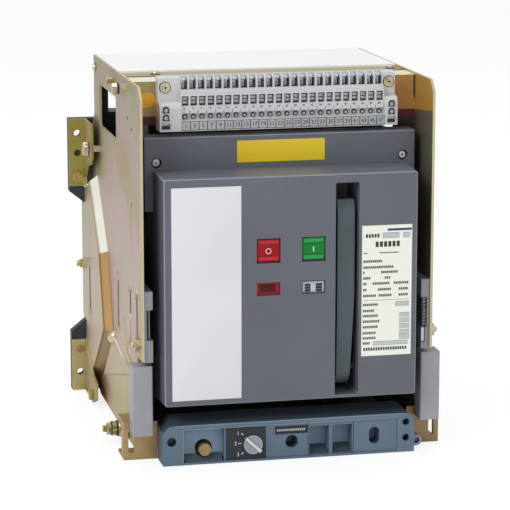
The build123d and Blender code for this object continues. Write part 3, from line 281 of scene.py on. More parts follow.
def slope_sheen_and_shade(tree, x, nz):
    """A painted highlight by the upward part of the normal, times painted shade at the bends."""
    tilt = add(tree, "Math", {0: nz, 1: 0.5, 2: 0.5}, operation="MULTIPLY_ADD")
    sheen = add(tree, "ValToRGB", {"Fac": tilt}, "Color", SHEEN_BY_TILT)
    reach = add(tree, "Math", {0: x}, operation="ABSOLUTE")
    ends = {"Value": reach, "From Min": PLATE_REACH, "From Max": BULGE_REACH}
    across = add(tree, "MapRange", ends, "Result")
    bend_shade = add(tree, "ValToRGB", {"Fac": across}, "Color", SHADE_AT_BENDS)
    inputs = {MASK: 1.0, UNDER: sheen, OVER: bend_shade}
    return add(tree, "Mix", inputs, MIXED, data_type="RGBA", blend_type="MULTIPLY")


print("height of the bulge in mm:", round((BULGE_REACH - PLATE_REACH) / MM, 1))

# %% [markdown]
# On the plain faces the film is yellow at the foot, pinkish in the middle and olive towards the
# top, and cut edges carry a painted highlight. The inner face has painted shade, with a painted
# reflection of the crossbeam's brown in its top. That mirrored line slants, because the face is
# seen at an angle.

# %% The film and the painted light on the side plates
PLATE_TOP = 0.432
SLOPED, FLAT = 0.3, 0.95
BEAM_FOOT, BEAM_DEPTH = 0.389, 0.088
MIRROR_SLOPE = 0.11
MIRROR_LINE = BEAM_FOOT + MIRROR_SLOPE * (FACE + BEAM_DEPTH)
FILM_BY_HEIGHT = (
    (0.0, "#CDBD74"), (0.16, "#CABC8E"), (0.32, "#C4B498"),
    (0.55, "#BFAEA2"), (0.76, "#B0A589"), (1.0, "#9C9472"),
)


def plate_film_and_painted_light(tree, place, drift):
    """The film's colour by height, with painted light on slopes, on cut edges and on the inner face."""
    x, y, z = add(tree, "SeparateXYZ", {"Vector": place}).node.outputs
    nx, _, nz = normal_parts(tree)
    height = add(tree, "Math", {0: z, 1: PLATE_TOP}, operation="DIVIDE")
    film = add(tree, "ValToRGB", {"Fac": height}, "Color", FILM_BY_HEIGHT)
    flatness = add(tree, "Math", {0: nx}, operation="ABSOLUTE")
    outward = add(tree, "Math", {0: nx, 1: x}, operation="MULTIPLY")
    facing_in = between(tree, outward, -1.0, 0.0)
    inner = add(tree, "Math", {0: facing_in, 1: between(tree, flatness, FLAT)}, operation="MULTIPLY")
    # The inner face's painted shade, with a painted reflection of the crossbeam above a slanting line.
    slant = add(tree, "Math", {0: y, 1: MIRROR_SLOPE, 2: z}, operation="MULTIPLY_ADD")
    shade = laid_over(tree, "#7D7866", (between(tree, slant, MIRROR_LINE), "#CBA24C"))
    # Painted highlight and shade on the slopes, a painted highlight on cut edges, painted shade inside.
    return laid_over(
        tree, film, (0.5, drift),
        (between(tree, flatness, SLOPED, FLAT), slope_sheen_and_shade(tree, x, nz)),
        (between(tree, flatness, -1.0, SLOPED), "#D3C99C"),
        (inner, shade),
    )


print("the mirrored line meets the mask's face at", round(MIRROR_LINE - MIRROR_SLOPE * FACE, 3), "m")

# %% [markdown]
# The crossbeam's film turns from olive-grey on the left to orange-brown on the right. A bracket's
# side leg is tan, lighter than its olive front. The beam and the cover's angle carry a painted
# highlight on top, a painted reflection of the light.

# %% Films and painted highlights on the crossbeam, the brackets and the cover's angle
BEAM_HALF = 0.16
BEAM_FILM = ((0.0, "#A8976C"), (0.8, "#BE8E54"), (1.0, "#C08A48"))
TOP_FACE = 0.9
LEG_FACE = 0.7


def beam_film_and_highlight(tree, place, drift):
    """A film that turns from left to right, under a painted highlight on top."""
    x = add(tree, "SeparateXYZ", {"Vector": place}, "X")
    ends = {"Value": x, "From Min": -BEAM_HALF, "From Max": BEAM_HALF}
    across = add(tree, "MapRange", ends, "Result")
    film = add(tree, "ValToRGB", {"Fac": across}, "Color", BEAM_FILM)
    top = between(tree, normal_parts(tree)[2], TOP_FACE)
    return laid_over(tree, film, (0.3, drift), (top, "#F2EBD4"))


def leg_patina(tree, place, drift):
    """The bracket's own film, with tan laid over its side leg."""
    flatness = add(tree, "Math", {0: normal_parts(tree)[0]}, operation="ABSOLUTE")
    return laid_over(tree, drift, (between(tree, flatness, LEG_FACE), "#B49C74"))


def angle_film_and_highlight(tree, place, drift):
    """The angle's own film, with a painted highlight on top."""
    return laid_over(tree, drift, (between(tree, normal_parts(tree)[2], TOP_FACE), "#B9AE86"))


print("stops in the crossbeam's film:", len(BEAM_FILM))

# %% [markdown]
# Every zinc finish is the same process with its own bath and its own place in it, so each has a
# name, its film's colours and the size of the patches in millimetres. Bolts are plated in a
# barrel, which leaves them brighter and in small patches.

# %% Zinc finishes
plate_colours = ["#9CA06A", "#BBAF90", "#CBA8B0", "#B8A07C"]
plate_zinc = passivated_zinc("plate_zinc", plate_colours, 120, 0.42, 0.5, plate_film_and_painted_light)
tray_zinc = passivated_zinc("tray_zinc", ["#8F8A66", "#A59A80", "#AA9C90"], 120)
khaki_colours = ["#9A9842", "#ABA552", "#AA9656"]
khaki_zinc = passivated_zinc("khaki_zinc", khaki_colours, 60, 0.42, 0.6, leg_patina)
pale_colours = ["#BDB874", "#CCC48C", "#C8B67C"]
pale_khaki_zinc = passivated_zinc("pale_khaki_zinc", pale_colours, 50, 0.42, 0.6, leg_patina)
foot_zinc = passivated_zinc("foot_zinc", ["#C09A66", "#BFA274", "#B6A670"], 80)
shaded_foot_zinc = passivated_zinc("shaded_foot_zinc", ["#A38258", "#A48B66", "#989064"], 80, 0.45)
beam_colours = ["#BC8E58", "#C29C6A", "#B09A5C"]
beam_zinc = passivated_zinc("beam_zinc", beam_colours, 110, 0.42, 0.25, beam_film_and_highlight)
angle_zinc = passivated_zinc("angle_zinc", ["#73784F", "#73784F"], 90, 0.4, 0.6, angle_film_and_highlight)
# This bright zinc also serves as a painted highlight on the domes, the slits' ends and the beam's fold.
bright_zinc_and_highlight = passivated_zinc("bright_zinc_and_highlight", ["#BDB07C", "#DDD6BA", "#CFC4A4"], 9, 0.26, 0.9)
straw_zinc = passivated_zinc("straw_zinc", ["#A8945A", "#C2AE6E", "#B59A58"], 12, 0.3, 0.9)
print("zinc finishes: 10")

# %% [markdown]
# The mask, base, blocks and insulators are moulded plastics: ABS on the outside, and a filled
# polyester compound near the current. A mould gives them an even fine texture and no grain, so
# the colour is nearly flat, with a slow drift of a few percent, and the bump is a fine noise.
# Where an edge is broken by a chamfer, the chamfer is painted lighter, as wear and as a painted
# highlight. The racking base has painted shade on top, where it stands in the shade of the mask,
# and its sunk fields are painted lighter, to lift the shade that falls in them.

# %% Moulded plastics
PLASTIC_IOR = 1.52
DRIFT_MM = 80
PLAIN_FACE = 0.9
TOP_SLOPE = 0.3
SUNK_FIELD = FACE + 0.0105


def moulded(name, shade, light, roughness, texture_mm=0.9, texture=0.12, edge=None, top=None, deep=None):
    """A plastic with a slow drift between two close colours and an eroded-mould texture."""
    material, tree, shader, place = start_material(name)
    colour = drifting(tree, place, DRIFT_MM, [shade, light], Detail=2.0)[1]
    # Chamfers: lighter, as wear and as a painted highlight.
    if edge:
        broken = 1.0
        for part in normal_parts(tree):
            short = between(tree, part, -PLAIN_FACE, PLAIN_FACE)
            broken = add(tree, "Math", {0: broken, 1: short}, operation="MULTIPLY")
        colour = laid_over(tree, colour, (broken, edge))
    # Sunk front faces: painted lighter, against the shade that falls in them.
    if deep:
        depth = add(tree, "SeparateXYZ", {"Vector": place}, "Y")
        facing = between(tree, normal_parts(tree)[1], -2.0, -PLAIN_FACE)
        sunk = between(tree, depth, SUNK_FIELD)
        sunk_face = add(tree, "Math", {0: facing, 1: sunk}, operation="MULTIPLY")
        colour = laid_over(tree, colour, (sunk_face, deep))
    # Faces looking up: painted shade.
    if top:
        colour = laid_over(tree, colour, (between(tree, normal_parts(tree)[2], TOP_SLOPE), top))
    fill(tree, shader, {
        "Base Color": colour, "Normal": relief(tree, place, texture_mm, 2.0, texture),
        "Roughness": roughness, "IOR": PLASTIC_IOR,
    })
    return material


print("refractive index of the plastics:", PLASTIC_IOR)

# %% [markdown]
# Two close shades are enough for a plastic, because a moulding's colour is mixed into the whole
# of it. The filled compounds have a coarser texture than ABS, and the board and the tape are
# laid up from paper and glass, so their texture is the coarsest.

# %% Moulded finishes
mask_grey = moulded("mask_grey_abs", "#62656D", "#686B75", 0.46, edge="#8E919A")
# A lighter grey for thin strips that are painted highlights on the mask's edges.
mask_highlight_grey = moulded("mask_painted_highlight", "#8E9199", "#989BA3", 0.4)
handle_slate = moulded("lever_slate_abs", "#485357", "#505B60", 0.42)
slot_grey = moulded("light_grey_abs", "#9C9DA2", "#A6A7AC", 0.45)
rail_grey = moulded("rail_grey_coat", "#93959A", "#9D9FA4", 0.42)
# The base's top carries painted shade, and its sunk fields painted light.
slate_base = moulded(
    "slate_polyester", "#5E7182", "#687C8E", 0.5, 1.2, 0.18, top="#48545F", deep="#8499AD",
)
# A lighter slate for thin strips that are painted highlights on the base's edges.
slate_highlight = moulded("slate_painted_highlight", "#7C8FA0", "#879AAB", 0.45, 1.2, 0.1)
# The black compound also serves for thin sheets of painted shade in slots, holes, slits and gaps.
black_compound_and_shade = moulded("black_polyester_and_painted_shade", "#282D33", "#31363C", 0.5, 1.2, 0.2)
strip_white = moulded("pale_polyamide", "#CDCED1", "#D7D8DA", 0.42)
# The markers are the strip's white painted grey, as the shade that falls under the ledge.
marker_grey_in_shade = moulded("marker_polyamide_painted_shade", "#AEB1B3", "#BABDBE", 0.45)
red_laminate = moulded("red_phenolic_board", "#5E1628", "#701F34", 0.5, 2.0, 0.2)
pink_tape = moulded("pink_glass_tape", "#B08C90", "#BE9A9C", 0.5)
print("moulded finishes: 12")

# %% [markdown]
# Printed and painted sheets are smooth: the white front panel and the top cover are coated
# steel, the nameplate and labels are film. Buttons are gloss acrylic. They differ from the
# mouldings in gloss more than in texture, so they keep a far finer bump and a lower roughness.

# %% Coated sheet, film and acrylic
PEEL_MM = 5
COAT_DRIFT_MM = 120


def smooth_coat(name, shade, light, roughness, coat=0.0, shine=0.5):
    """A smooth painted, printed or acrylic surface, with a trace of orange peel."""
    material, tree, shader, place = start_material(name)
    colour = drifting(tree, place, COAT_DRIFT_MM, [shade, light], Detail=1.0)[1]
    fill(tree, shader, {
        "Base Color": colour, "Normal": relief(tree, place, PEEL_MM, 1.0, 0.04),
        "Roughness": roughness, "Coat Weight": coat, "Specular IOR Level": shine,
    })
    return material


panel_white = smooth_coat("panel_white_film", "#E6E6EA", "#EDEDF0", 0.35)
cover_white = smooth_coat("cover_white_enamel", "#F8F8F9", "#FCFCFD", 0.45)
plate_cream = smooth_coat("nameplate_film", "#FAFCEE", "#FDFFF5", 0.3)
print_grey = smooth_coat("print_grey_ink", "#2F3438", "#3A3F43", 0.5)
print_pale = smooth_coat("print_pale_ink", "#C3CAC6", "#CDD4D0", 0.5)
print_blue = smooth_coat("print_blue_ink", "#2B3C74", "#32447E", 0.45)
# Black ink also serves as painted shade: screw recesses, button grooves and window shadows.
black_ink_and_shade = smooth_coat("black_ink_and_painted_shade", "#1B1C1F", "#26272B", 0.5)
print_white = smooth_coat("print_white_ink", "#E8EAEC", "#F2F3F4", 0.45)
label_yellow = smooth_coat("label_yellow_film", "#EBC80C", "#F4D414", 0.35)
sticker_amber = smooth_coat("sticker_amber_film", "#F5AE0A", "#FBBC10", 0.35)
button_red = smooth_coat("button_red_acrylic", "#A00C16", "#B0101C", 0.3, shine=0.2)
# Lighter copies of the red and green acrylics, painted on the buttons' steps as a highlight.
button_red_highlight = smooth_coat("button_red_painted_highlight", "#C01C26", "#CE2832", 0.3, shine=0.3)
button_green = smooth_coat("button_green_acrylic", "#0C7E30", "#128E3A", 0.3, shine=0.2)
button_green_highlight = smooth_coat("button_green_painted_highlight", "#249A46", "#30A852", 0.3, shine=0.3)
window_red = smooth_coat("window_red_acrylic", "#94141F", "#A41C28", 0.3, shine=0.25)
window_dark = smooth_coat("window_dark_red", "#4A0C12", "#580F17", 0.3, shine=0.2)
window_pale = smooth_coat("window_pale_acrylic", "#B4B7C2", "#C6C9D2", 0.25, 0.2)
dial_grey = smooth_coat("dial_grey_satin", "#9CA2A9", "#AEB4BA", 0.34)
dial_rim_grey = smooth_coat("dial_rim_satin", "#BCC2C8", "#CCD1D6", 0.3)
print("smooth finishes: 19")

# %% [markdown]
# Copper bars and spring wire are drawn, and the brass rod is turned, which leaves fine streaks
# along their length. A noise that is drawn out twelve times from front to back makes them. The
# streaks are about a millimetre wide, coarser than real ones, so that they show in the render.

# %% Copper, brass and bright steel
STREAK_STRETCH = 0.08


def bare_metal(name, dark, light, roughness, streak_mm):
    """Drawn or turned metal: metallic, with fine streaks along its length."""
    material, tree, shader, place = start_material(name)
    stretch = {"Vector": place, "Scale": (1.0, STREAK_STRETCH, 1.0)}
    along = add(tree, "Mapping", stretch, "Vector")
    colour = drifting(tree, along, streak_mm, [dark, light], Detail=3.0)[1]
    fill(tree, shader, {
        "Base Color": colour, "Normal": relief(tree, along, streak_mm, 3.0, 0.05),
        "Roughness": roughness, "Metallic": 1.0,
    })
    return material


copper = bare_metal("drawn_copper", "#B5714E", "#C98462", 0.32, 1.5)
brass = bare_metal("turned_brass", "#A88C60", "#BEA274", 0.35, 1.2)
clamp_steel = bare_metal("clamp_steel", "#9A9CA0", "#C2C4C7", 0.34, 1.0)
spring_steel = bare_metal("spring_steel", "#B8BAB6", "#DADCD8", 0.28, 1.0)
print("bare metal finishes: 4")

# %% [markdown]
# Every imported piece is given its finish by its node's name. A CAD node keeps its own mesh; only
# the material slot changes.

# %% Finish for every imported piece
FINISHES = {
    "side_plate_left": plate_zinc, "side_plate_right": plate_zinc,
    "foot_left": foot_zinc, "foot_right": shaded_foot_zinc,
    "floor_tray": tray_zinc, "cover_angle": angle_zinc,
    "side_bolts_left": bright_zinc_and_highlight, "side_bolts_right": bright_zinc_and_highlight, "mask_screws": spring_steel,
    "upper_bracket_left": khaki_zinc, "upper_bracket_right": khaki_zinc,
    "lower_bracket_left": pale_khaki_zinc, "lower_bracket_right": pale_khaki_zinc,
    "top_crossbeam": beam_zinc,
    "guide_rail_left": rail_grey, "guide_rail_right": rail_grey,
    "end_block_left": slot_grey, "end_block_right": slot_grey,
    "insulating_board": red_laminate, "top_cover": cover_white, "terminal_strip": strip_white,
    "racking_base": slate_base, "dial_plate": black_compound_and_shade, "crank_strip": black_ink_and_shade,
    "drive_rod": brass, "position_dial": dial_grey,
    "rear_base": black_compound_and_shade, "upper_terminals": copper, "lower_terminals": copper,
    "front_mask": mask_grey, "blank_panel": panel_white, "nameplate": plate_cream,
    "charge_indicator": window_red, "state_indicator": window_pale, "warning_label": label_yellow,
    "off_button": button_red, "on_button": button_green, "charging_handle": handle_slate,
    "breaker_housing": black_compound_and_shade, "arc_chutes": black_compound_and_shade,
    "rail_lug_left": black_compound_and_shade, "rail_lug_right": black_compound_and_shade, "contact_clusters": copper,
}
for name, material in FINISHES.items():
    nodes[name].data.materials.clear()
    nodes[name].data.materials.append(material)
print("finished nodes:", len(FINISHES), "of", len(nodes))

# %% [markdown]
# New pieces are built in a bmesh, in millimetres measured from the mask's face, and written to
# the mesh in metres. Keeping one set of units makes the places read like a drawing. Each helper
# adds one shape to the bmesh, so that many like things share one mesh.

# %% Blocks with softened edges
def soften(mesh, edges, width):
    """Rounds edges over the given width."""
    bmesh.ops.bevel(
        mesh, geom=edges, offset=width, segments=2, affect="EDGES", profile=0.5, material=-1,
    )


def box_into(mesh, low, high, bevel=0.0):
    """A straight block between two corners, its edges softened where a bevel is given."""
    low, high = Vector(low), Vector(high)
    place = Matrix.Translation((low + high) / 2) @ Matrix.Diagonal((*(high - low), 1.0))
    made = bmesh.ops.create_cube(mesh, size=1.0, matrix=place)
    if bevel:
        soften(mesh, list({e for v in made["verts"] for e in v.link_edges}), bevel)


print("places are in mm from the mask's face, which stands at", round(FACE, 4), "m")

# %% [markdown]
# A disc is a cone whose two radii are the same. With six sides it is a hexagon nut, and with a
# softened rim a button or a pan head. It is made standing up, so a rotation first takes the
# upward axis to the one that the disc rises along.

# %% Discs along any axis
ROUND = 20


def turned(axis):
    """The rotation that takes +Z to the given axis."""
    return Vector(axis).normalized().to_track_quat("Z", "Y").to_matrix().to_4x4()


def disc_into(mesh, centre, axis, radius, thick, segments=24, bevel=0.0):
    """A round or many-sided disc that starts at a centre and rises along an axis."""
    axis = Vector(axis).normalized()
    middle = Vector(centre) + axis * (thick / 2)
    made = bmesh.ops.create_cone(
        mesh, cap_ends=True, segments=segments, radius1=radius, radius2=radius,
        depth=thick, matrix=Matrix.Translation(middle) @ turned(axis),
    )
    if bevel:
        edges = {e for v in made["verts"] for e in v.link_edges}
        rim = [e for e in edges if all((v.co - middle).dot(axis) > 0.49 * thick for v in e.verts)]
        soften(mesh, rim, bevel)


print("sides of a small round disc:", ROUND)

# %% [markdown]
# A piece is done when its mesh is in metres, its faces point outwards, and it is told which body
# it rides on and which material slot it keeps. Imported pieces that carry small ones are
# measured from the frame, so that nothing has to be typed twice.

# %% Writing a piece, and measuring a packed one
def finish_piece(name, mesh, body, material):
    """Writes a bmesh in millimetres from the mask's face as one piece that rides on a body."""
    place = Matrix.Translation((0.0, FACE, 0.0)) @ Matrix.Scale(MM, 4)
    bmesh.ops.transform(mesh, matrix=place, verts=mesh.verts)
    bmesh.ops.recalc_face_normals(mesh, faces=mesh.faces)
    data = bpy.data.meshes.new(name)
    mesh.to_mesh(data)
    mesh.free()
    data.materials.append(material)
    made = bpy.data.objects.new(name, data)
    bpy.context.scene.collection.objects.link(made)
    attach(made, body)


def corners_of(name):
    """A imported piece's lowest and highest corner, in millimetres from the mask's face."""
    return [(corner - Vector((0.0, FACE, 0.0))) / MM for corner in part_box(name)]


mask_low, mask_high = corners_of("front_mask")
print("height of the mask in mm:", round((mask_high - mask_low).z, 1))

# %% [markdown]
# A pan-head screw is a low dome with a cross pressed into it. A dome comes from a disc with a
# bevelled rim; the cross is two thin bars of painted shade let into the top, which at this size
# reads as a recess.

# %% Pan-head screws
FRONT = Vector((0.0, -1.0, 0.0))
WASHER_THICK = 0.8


def screw_into(metal, painted_shade, centre, axis, radius, height, washer=0.0):
    """A pan-head screw with a cross recess, and a plain washer under it where one is given."""
    centre = Vector(centre)
    if washer:
        disc_into(metal, centre, axis, washer, WASHER_THICK, ROUND, 0.25)
        centre = centre + axis * WASHER_THICK
    disc_into(metal, centre, axis, radius, height, ROUND, 0.42 * height)
    turn = Matrix.Translation(centre + axis * height) @ turned(axis)
    for width, length in ((0.2, 1.15), (1.15, 0.2)):
        bar = Matrix.Diagonal((width * radius, length * radius, 0.12, 1.0))
        bmesh.ops.create_cube(painted_shade, size=1.0, matrix=turn @ bar)


print("washer thickness in mm:", WASHER_THICK)

# %% [markdown]
# The cradle has two screws at the strip's ends, two on the cover's angle and one on each plate.
# A thin dark ring under a head is the shadow in its joint, so each screw stands on one.

# %% Screws of the cradle
UP = Vector((0.0, 0.0, 1.0))
SCREW_RADIUS = 4.2
PLATE_X = 170.0
STRIP_SCREWS = ((-130.5, 75.0, 424.5), (131.5, 75.0, 424.5))
ANGLE_SCREWS = ((-128.0, 152.0, 430.0), (155.0, 152.0, 430.0))
PLATE_SCREW = (334.0, 418.0)


def seated_screw(metal, painted_shade, centre, axis, ring, gap, height, washer=0.0):
    """A screw that stands on a dark ring, over a gap of the ring's thickness."""
    disc_into(painted_shade, centre, axis, ring, gap, ROUND)
    screw_into(metal, painted_shade, Vector(centre) + axis * gap, axis, SCREW_RADIUS, height, washer)


metal, painted_shade = bmesh.new(), bmesh.new()
for place in STRIP_SCREWS:
    seated_screw(metal, painted_shade, place, FRONT, 6.7, 0.5, 2.2, 6.0)
for place in ANGLE_SCREWS:
    seated_screw(metal, painted_shade, place, UP, 6.0, 0.5, 3.2)
for side in (-1, 1):
    seated_screw(metal, painted_shade, (side * PLATE_X, *PLATE_SCREW), Vector((side, 0, 0)), 5.2, 0.4, 3.0)
finish_piece("cradle_screws", metal, "cradle", bright_zinc_and_highlight)
finish_piece("cradle_screw_crosses", painted_shade, "cradle", black_ink_and_shade)
print("screws of the cradle:", len(STRIP_SCREWS) + len(ANGLE_SCREWS) + 2)

# %% [markdown]
# Two bright screws hold the mask to the breaker. They ride with it, so they are pieces of their
# own.

# %% Screws of the mask
MASK_SCREWS = ((-144.2, 60.0, 341.3), (144.2, 60.0, 341.3))

metal, painted_shade = bmesh.new(), bmesh.new()
for place in MASK_SCREWS:
    screw_into(metal, painted_shade, place, FRONT, 4.3, 1.8)
finish_piece("mask_screw_heads", metal, "breaker", spring_steel)
finish_piece("mask_screw_crosses", painted_shade, "breaker", black_ink_and_shade)
print("screws of the mask:", len(MASK_SCREWS))

# %% [markdown]
# The studs on the plates carry nuts, plain washers and black spring washers. A hexagon nut is a
# six-sided disc with its outer rim bevelled round, which is how the real one is turned down at
# its corners. Bright zinc, straw chromate and black alternate, so they go to three meshes. A
# fastener is a pile of layers, each with its mesh, its start, radius, thickness, sides and rim.

# %% Fasteners that stand out from the side plates
HEX = 6
BULGE_X = 181.0

metal, straw, dark = bmesh.new(), bmesh.new(), bmesh.new()
SIDE_PILES = {
    "foot bolt": ((300.0, 11.0), ((straw, 184.0, 6.6, 5.0, HEX, 0.8),)),
    "stud": ((312.0, 320.0), ((dark, 183.0, 8.6, 1.8, 24, 0.3), (metal, 184.8, 8.2, 6.0, HEX, 0.9))),
    "earth bolt": ((120.0, 17.0), (
        (dark, PLATE_X, 13.0, 4.2, 28, 0.6), (metal, 174.2, 11.4, 2.4, 28, 0.5),
        (metal, 178.6, 10.4, 2.6, 28, 0.5), (dark, 182.0, 9.4, 2.0, 28, 0.5),
        (straw, 184.0, 8.9, 5.0, HEX, 0.9), (dark, 189.0, 8.2, 1.4, 24, 0.3),
        (metal, 190.4, 7.6, 4.6, HEX, 0.8), (straw, 195.0, 4.0, 4.6, ROUND, 0.8),
    )),
    "rear stud": ((366.0, 166.0), (
        (metal, BULGE_X, 7.0, 5.0, HEX, 0.8), (straw, 186.0, 5.2, 3.0, ROUND, 0.5),
        (metal, 189.0, 3.6, 4.0, ROUND, 0.8),
    )),
    "rail pin": ((29.5, 139.3), ((metal, 176.0, 3.6, 3.4, ROUND, 0.6),)),
    "top pin": ((192.0, 419.5), (
        (straw, PLATE_X, 3.2, 7.5, ROUND, 0.0), (straw, 177.5, 5.0, 1.8, ROUND, 0.5),
    )),
    "top bolt": ((120.0, 419.0), ((dark, 176.0, 6.6, 2.6, 24, 0.4), (metal, 178.6, 6.0, 6.0, HEX, 0.7))),
}
for side in (-1, 1):
    for (depth, height), layers in SIDE_PILES.values():
        for mesh, start, radius, thick, sides, rim in layers:
            disc_into(mesh, (side * start, depth, height), (side, 0, 0), radius, thick, sides, rim)
print("fasteners on each plate:", len(SIDE_PILES))

# %% [markdown]
# The upper wall bracket has a hexagon bolt and the lower one a stepped pin. The plates have small
# round holes, drawn as discs of painted shade, and long upright slits. A slit's mouth is a block of
# painted shade a fifth of a millimetre thick, with a round end above and below painted bright as
# a highlight.

# %% Bracket bolts, holes and slit mouths
EAR_FRONT = 366.0
BRACKET_X = 189.5
BOLT_Z, PIN_Z = 277.0, 54.6
PIN_STEPS = ((5.2, 0.5), (3.6, 1.1), (2.0, 1.7))
PLATE_HOLES = ((98.0, 388.0, 2.2), (70.5, 378.5, 1.7), (76.0, 291.0, 1.7))
MOUTH_HALF = 3.6
SLIT_MOUTHS = (
    (BULGE_X, 332.5, 112.0, 172.0), (PLATE_X, 177.5, 123.0, 186.0),
    (PLATE_X, 89.9, 158.0, 192.0), (PLATE_X, 45.0, 137.0, 194.0),
)

for side in (-1, 1):
    bolt = Vector((side * BRACKET_X, EAR_FRONT, BOLT_Z))
    disc_into(straw, bolt, FRONT, 7.8, 4.6, HEX, 0.9)
    disc_into(straw, bolt + FRONT * 4.6, FRONT, 5.4, 0.5, 24, 0.2)
    for radius, proud in PIN_STEPS:
        disc_into(straw, (side * BRACKET_X, EAR_FRONT, PIN_Z), FRONT, radius, proud, 24, 0.25)
    for depth, height, radius in PLATE_HOLES:
        disc_into(dark, (side * PLATE_X, depth, height), (side, 0, 0), radius, 0.25, 16)
    for face, depth, low, high in SLIT_MOUTHS:
        reach = (side * face, side * (face + 0.2))
        box_into(dark, (min(reach), depth - MOUTH_HALF, low), (max(reach), depth + MOUTH_HALF, high))
        for height in (low, high):
            disc_into(metal, (side * face, depth, height), (side, 0, 0), 4.0, 0.6, 16, 0.2)
finish_piece("side_fasteners_and_highlights", metal, "cradle", bright_zinc_and_highlight)
finish_piece("side_straw_fasteners", straw, "cradle", straw_zinc)
finish_piece("side_washers_and_shade", dark, "cradle", black_compound_and_shade)
print("slits in each plate:", len(SLIT_MOUTHS), "holes:", len(PLATE_HOLES))

# %% [markdown]
# The press tool left a round boss where the ribs of the side plate meet. Its smooth dome is the
# outer half of a sphere, cut at the plate by the bisect operator. It takes the brighter zinc of
# the bolts, partly as a painted highlight.

# %% Pressed domes on the side plates
DOME = (208.0, 106.0)
DOME_RADIUS = 8.8

domes = bmesh.new()
for side in (-1, 1):
    centre = Vector((side * PLATE_X, *DOME))
    made = bmesh.ops.create_uvsphere(
        domes, u_segments=28, v_segments=14, radius=DOME_RADIUS, matrix=Matrix.Translation(centre),
    )
    parts = made["verts"] + list({e for v in made["verts"] for e in v.link_edges})
    parts += list({f for v in made["verts"] for f in v.link_faces})
    cut = bmesh.ops.bisect_plane(
        domes, geom=parts, dist=0.001, plane_co=centre, plane_no=(-side, 0, 0), clear_outer=True,
    )
    rim = [e for e in cut["geom_cut"] if isinstance(e, bmesh.types.BMEdge)]
    bmesh.ops.holes_fill(domes, edges=rim, sides=0)
finish_piece("plate_domes", domes, "cradle", bright_zinc_and_highlight)
print("dome radius in mm:", DOME_RADIUS)

# %% [markdown]
# The terminal strip takes the control wiring: each cell has a clamp in its upper slot, a square
# clamp well, a screw well and a numbered marker. They repeat 24 times at one pitch, so a cell is
# one list of blocks, measured sideways from the cell's middle and upwards from the strip's foot,
# and a loop builds them into shared meshes, with few faces each.

# %% Blocks of the terminal strip's cells
strip_low, strip_high = corners_of("terminal_strip")
STRIP_FOOT = strip_low.z
CELL_LEFT, CELL_PITCH, CELL_COUNT = -113.8, 9.9, 24
CELL_RIGHT = CELL_LEFT + CELL_COUNT * CELL_PITCH
MARKER_FACE, LEDGE_FACE, SCREW_FACE = 62.0, 66.0, 70.0

steel, dark, pale, markers, figures = (bmesh.new() for _ in range(5))
# The dark blocks are painted shade in the slots, the clamps' grooves and the wells.
CELL_BLOCKS = {
    "slot": (dark, -3.8, 3.8, 81.4, 82.0, 46.6, 56.6, 0.0),
    "slot's shaded wall": (dark, 2.0, 3.8, 74.5, 81.4, 46.6, 55.0, 0.0),
    "slot's clamp": (steel, -3.4, 1.6, 77.4, 81.4, 47.2, 55.6, 0.5),
    "lug over the clamp": (pale, -3.6, 2.2, 76.0, 82.0, 55.8, 58.6, 0.4),
    "clamp's left groove": (dark, -2.5, -1.9, 77.1, 77.4, 47.6, 53.0, 0.0),
    "clamp's right groove": (dark, -0.7, -0.1, 77.1, 77.4, 47.6, 53.0, 0.0),
    "well": (dark, -3.8, 3.8, 70.7, 71.0, 28.5, 39.3, 0.0),
    "well's clamp": (steel, -2.7, 2.9, 69.7, 70.7, 30.4, 38.0, 0.4),
    "well's groove": (dark, -2.2, 2.4, 69.4, 69.7, 33.6, 34.8, 0.0),
    "rib between screws": (pale, -4.9, -4.3, SCREW_FACE - 1.2, SCREW_FACE - 0.2, 12.8, 19.0, 0.0),
    "marker": (markers, -4.5, 4.5, MARKER_FACE - 0.6, MARKER_FACE - 0.2, 1.6, 10.8, 0.2),
    "tick on the ledge": (figures, 4.6, 5.1, LEDGE_FACE - 0.15, LEDGE_FACE, 20.4, 23.2, 0.0),
}


def cell_box(x, mesh, left, right, front, rear, low, high, bevel):
    """A block in one cell: sideways from the cell's middle, and upwards from the strip's foot."""
    box_into(mesh, (x + left, front, STRIP_FOOT + low), (x + right, rear, STRIP_FOOT + high), bevel)


cell_middles = [CELL_LEFT + CELL_PITCH * (k + 0.5) for k in range(CELL_COUNT)]
strip_middle, strip_half = (CELL_LEFT + CELL_RIGHT) / 2, (CELL_RIGHT - CELL_LEFT) / 2
# A band of painted shade between the markers, and the screw wells' band in the markers' shaded grey.
cell_box(strip_middle, dark, -strip_half, strip_half, MARKER_FACE - 0.2, MARKER_FACE, 0.9, 11.4, 0.0)
cell_box(strip_middle, markers, -strip_half, strip_half, SCREW_FACE - 0.2, SCREW_FACE, 12.6, 19.2, 0.0)
for x in cell_middles:
    for block in CELL_BLOCKS.values():
        cell_box(x, *block)
    # A ring of painted shade in each screw well.
    disc_into(dark, (x, SCREW_FACE - 0.2, STRIP_FOOT + 16.0), FRONT, 3.1, 0.25, 14)
    disc_into(steel, (x, SCREW_FACE - 0.45, STRIP_FOOT + 15.6), FRONT, 1.7, 0.5, 12, 0.2)
print("cells:", CELL_COUNT, "strip foot at", round(STRIP_FOOT, 1), "top at", round(strip_high.z, 1))

# %% [markdown]
# Odd figures stand on the markers and even ones on the ledge above them. Blender's own font is
# made into a mesh, because a text curve would not survive the export, and it is turned to face
# the front.

# %% Figures of the cells
FIGURE_THICK = 0.2


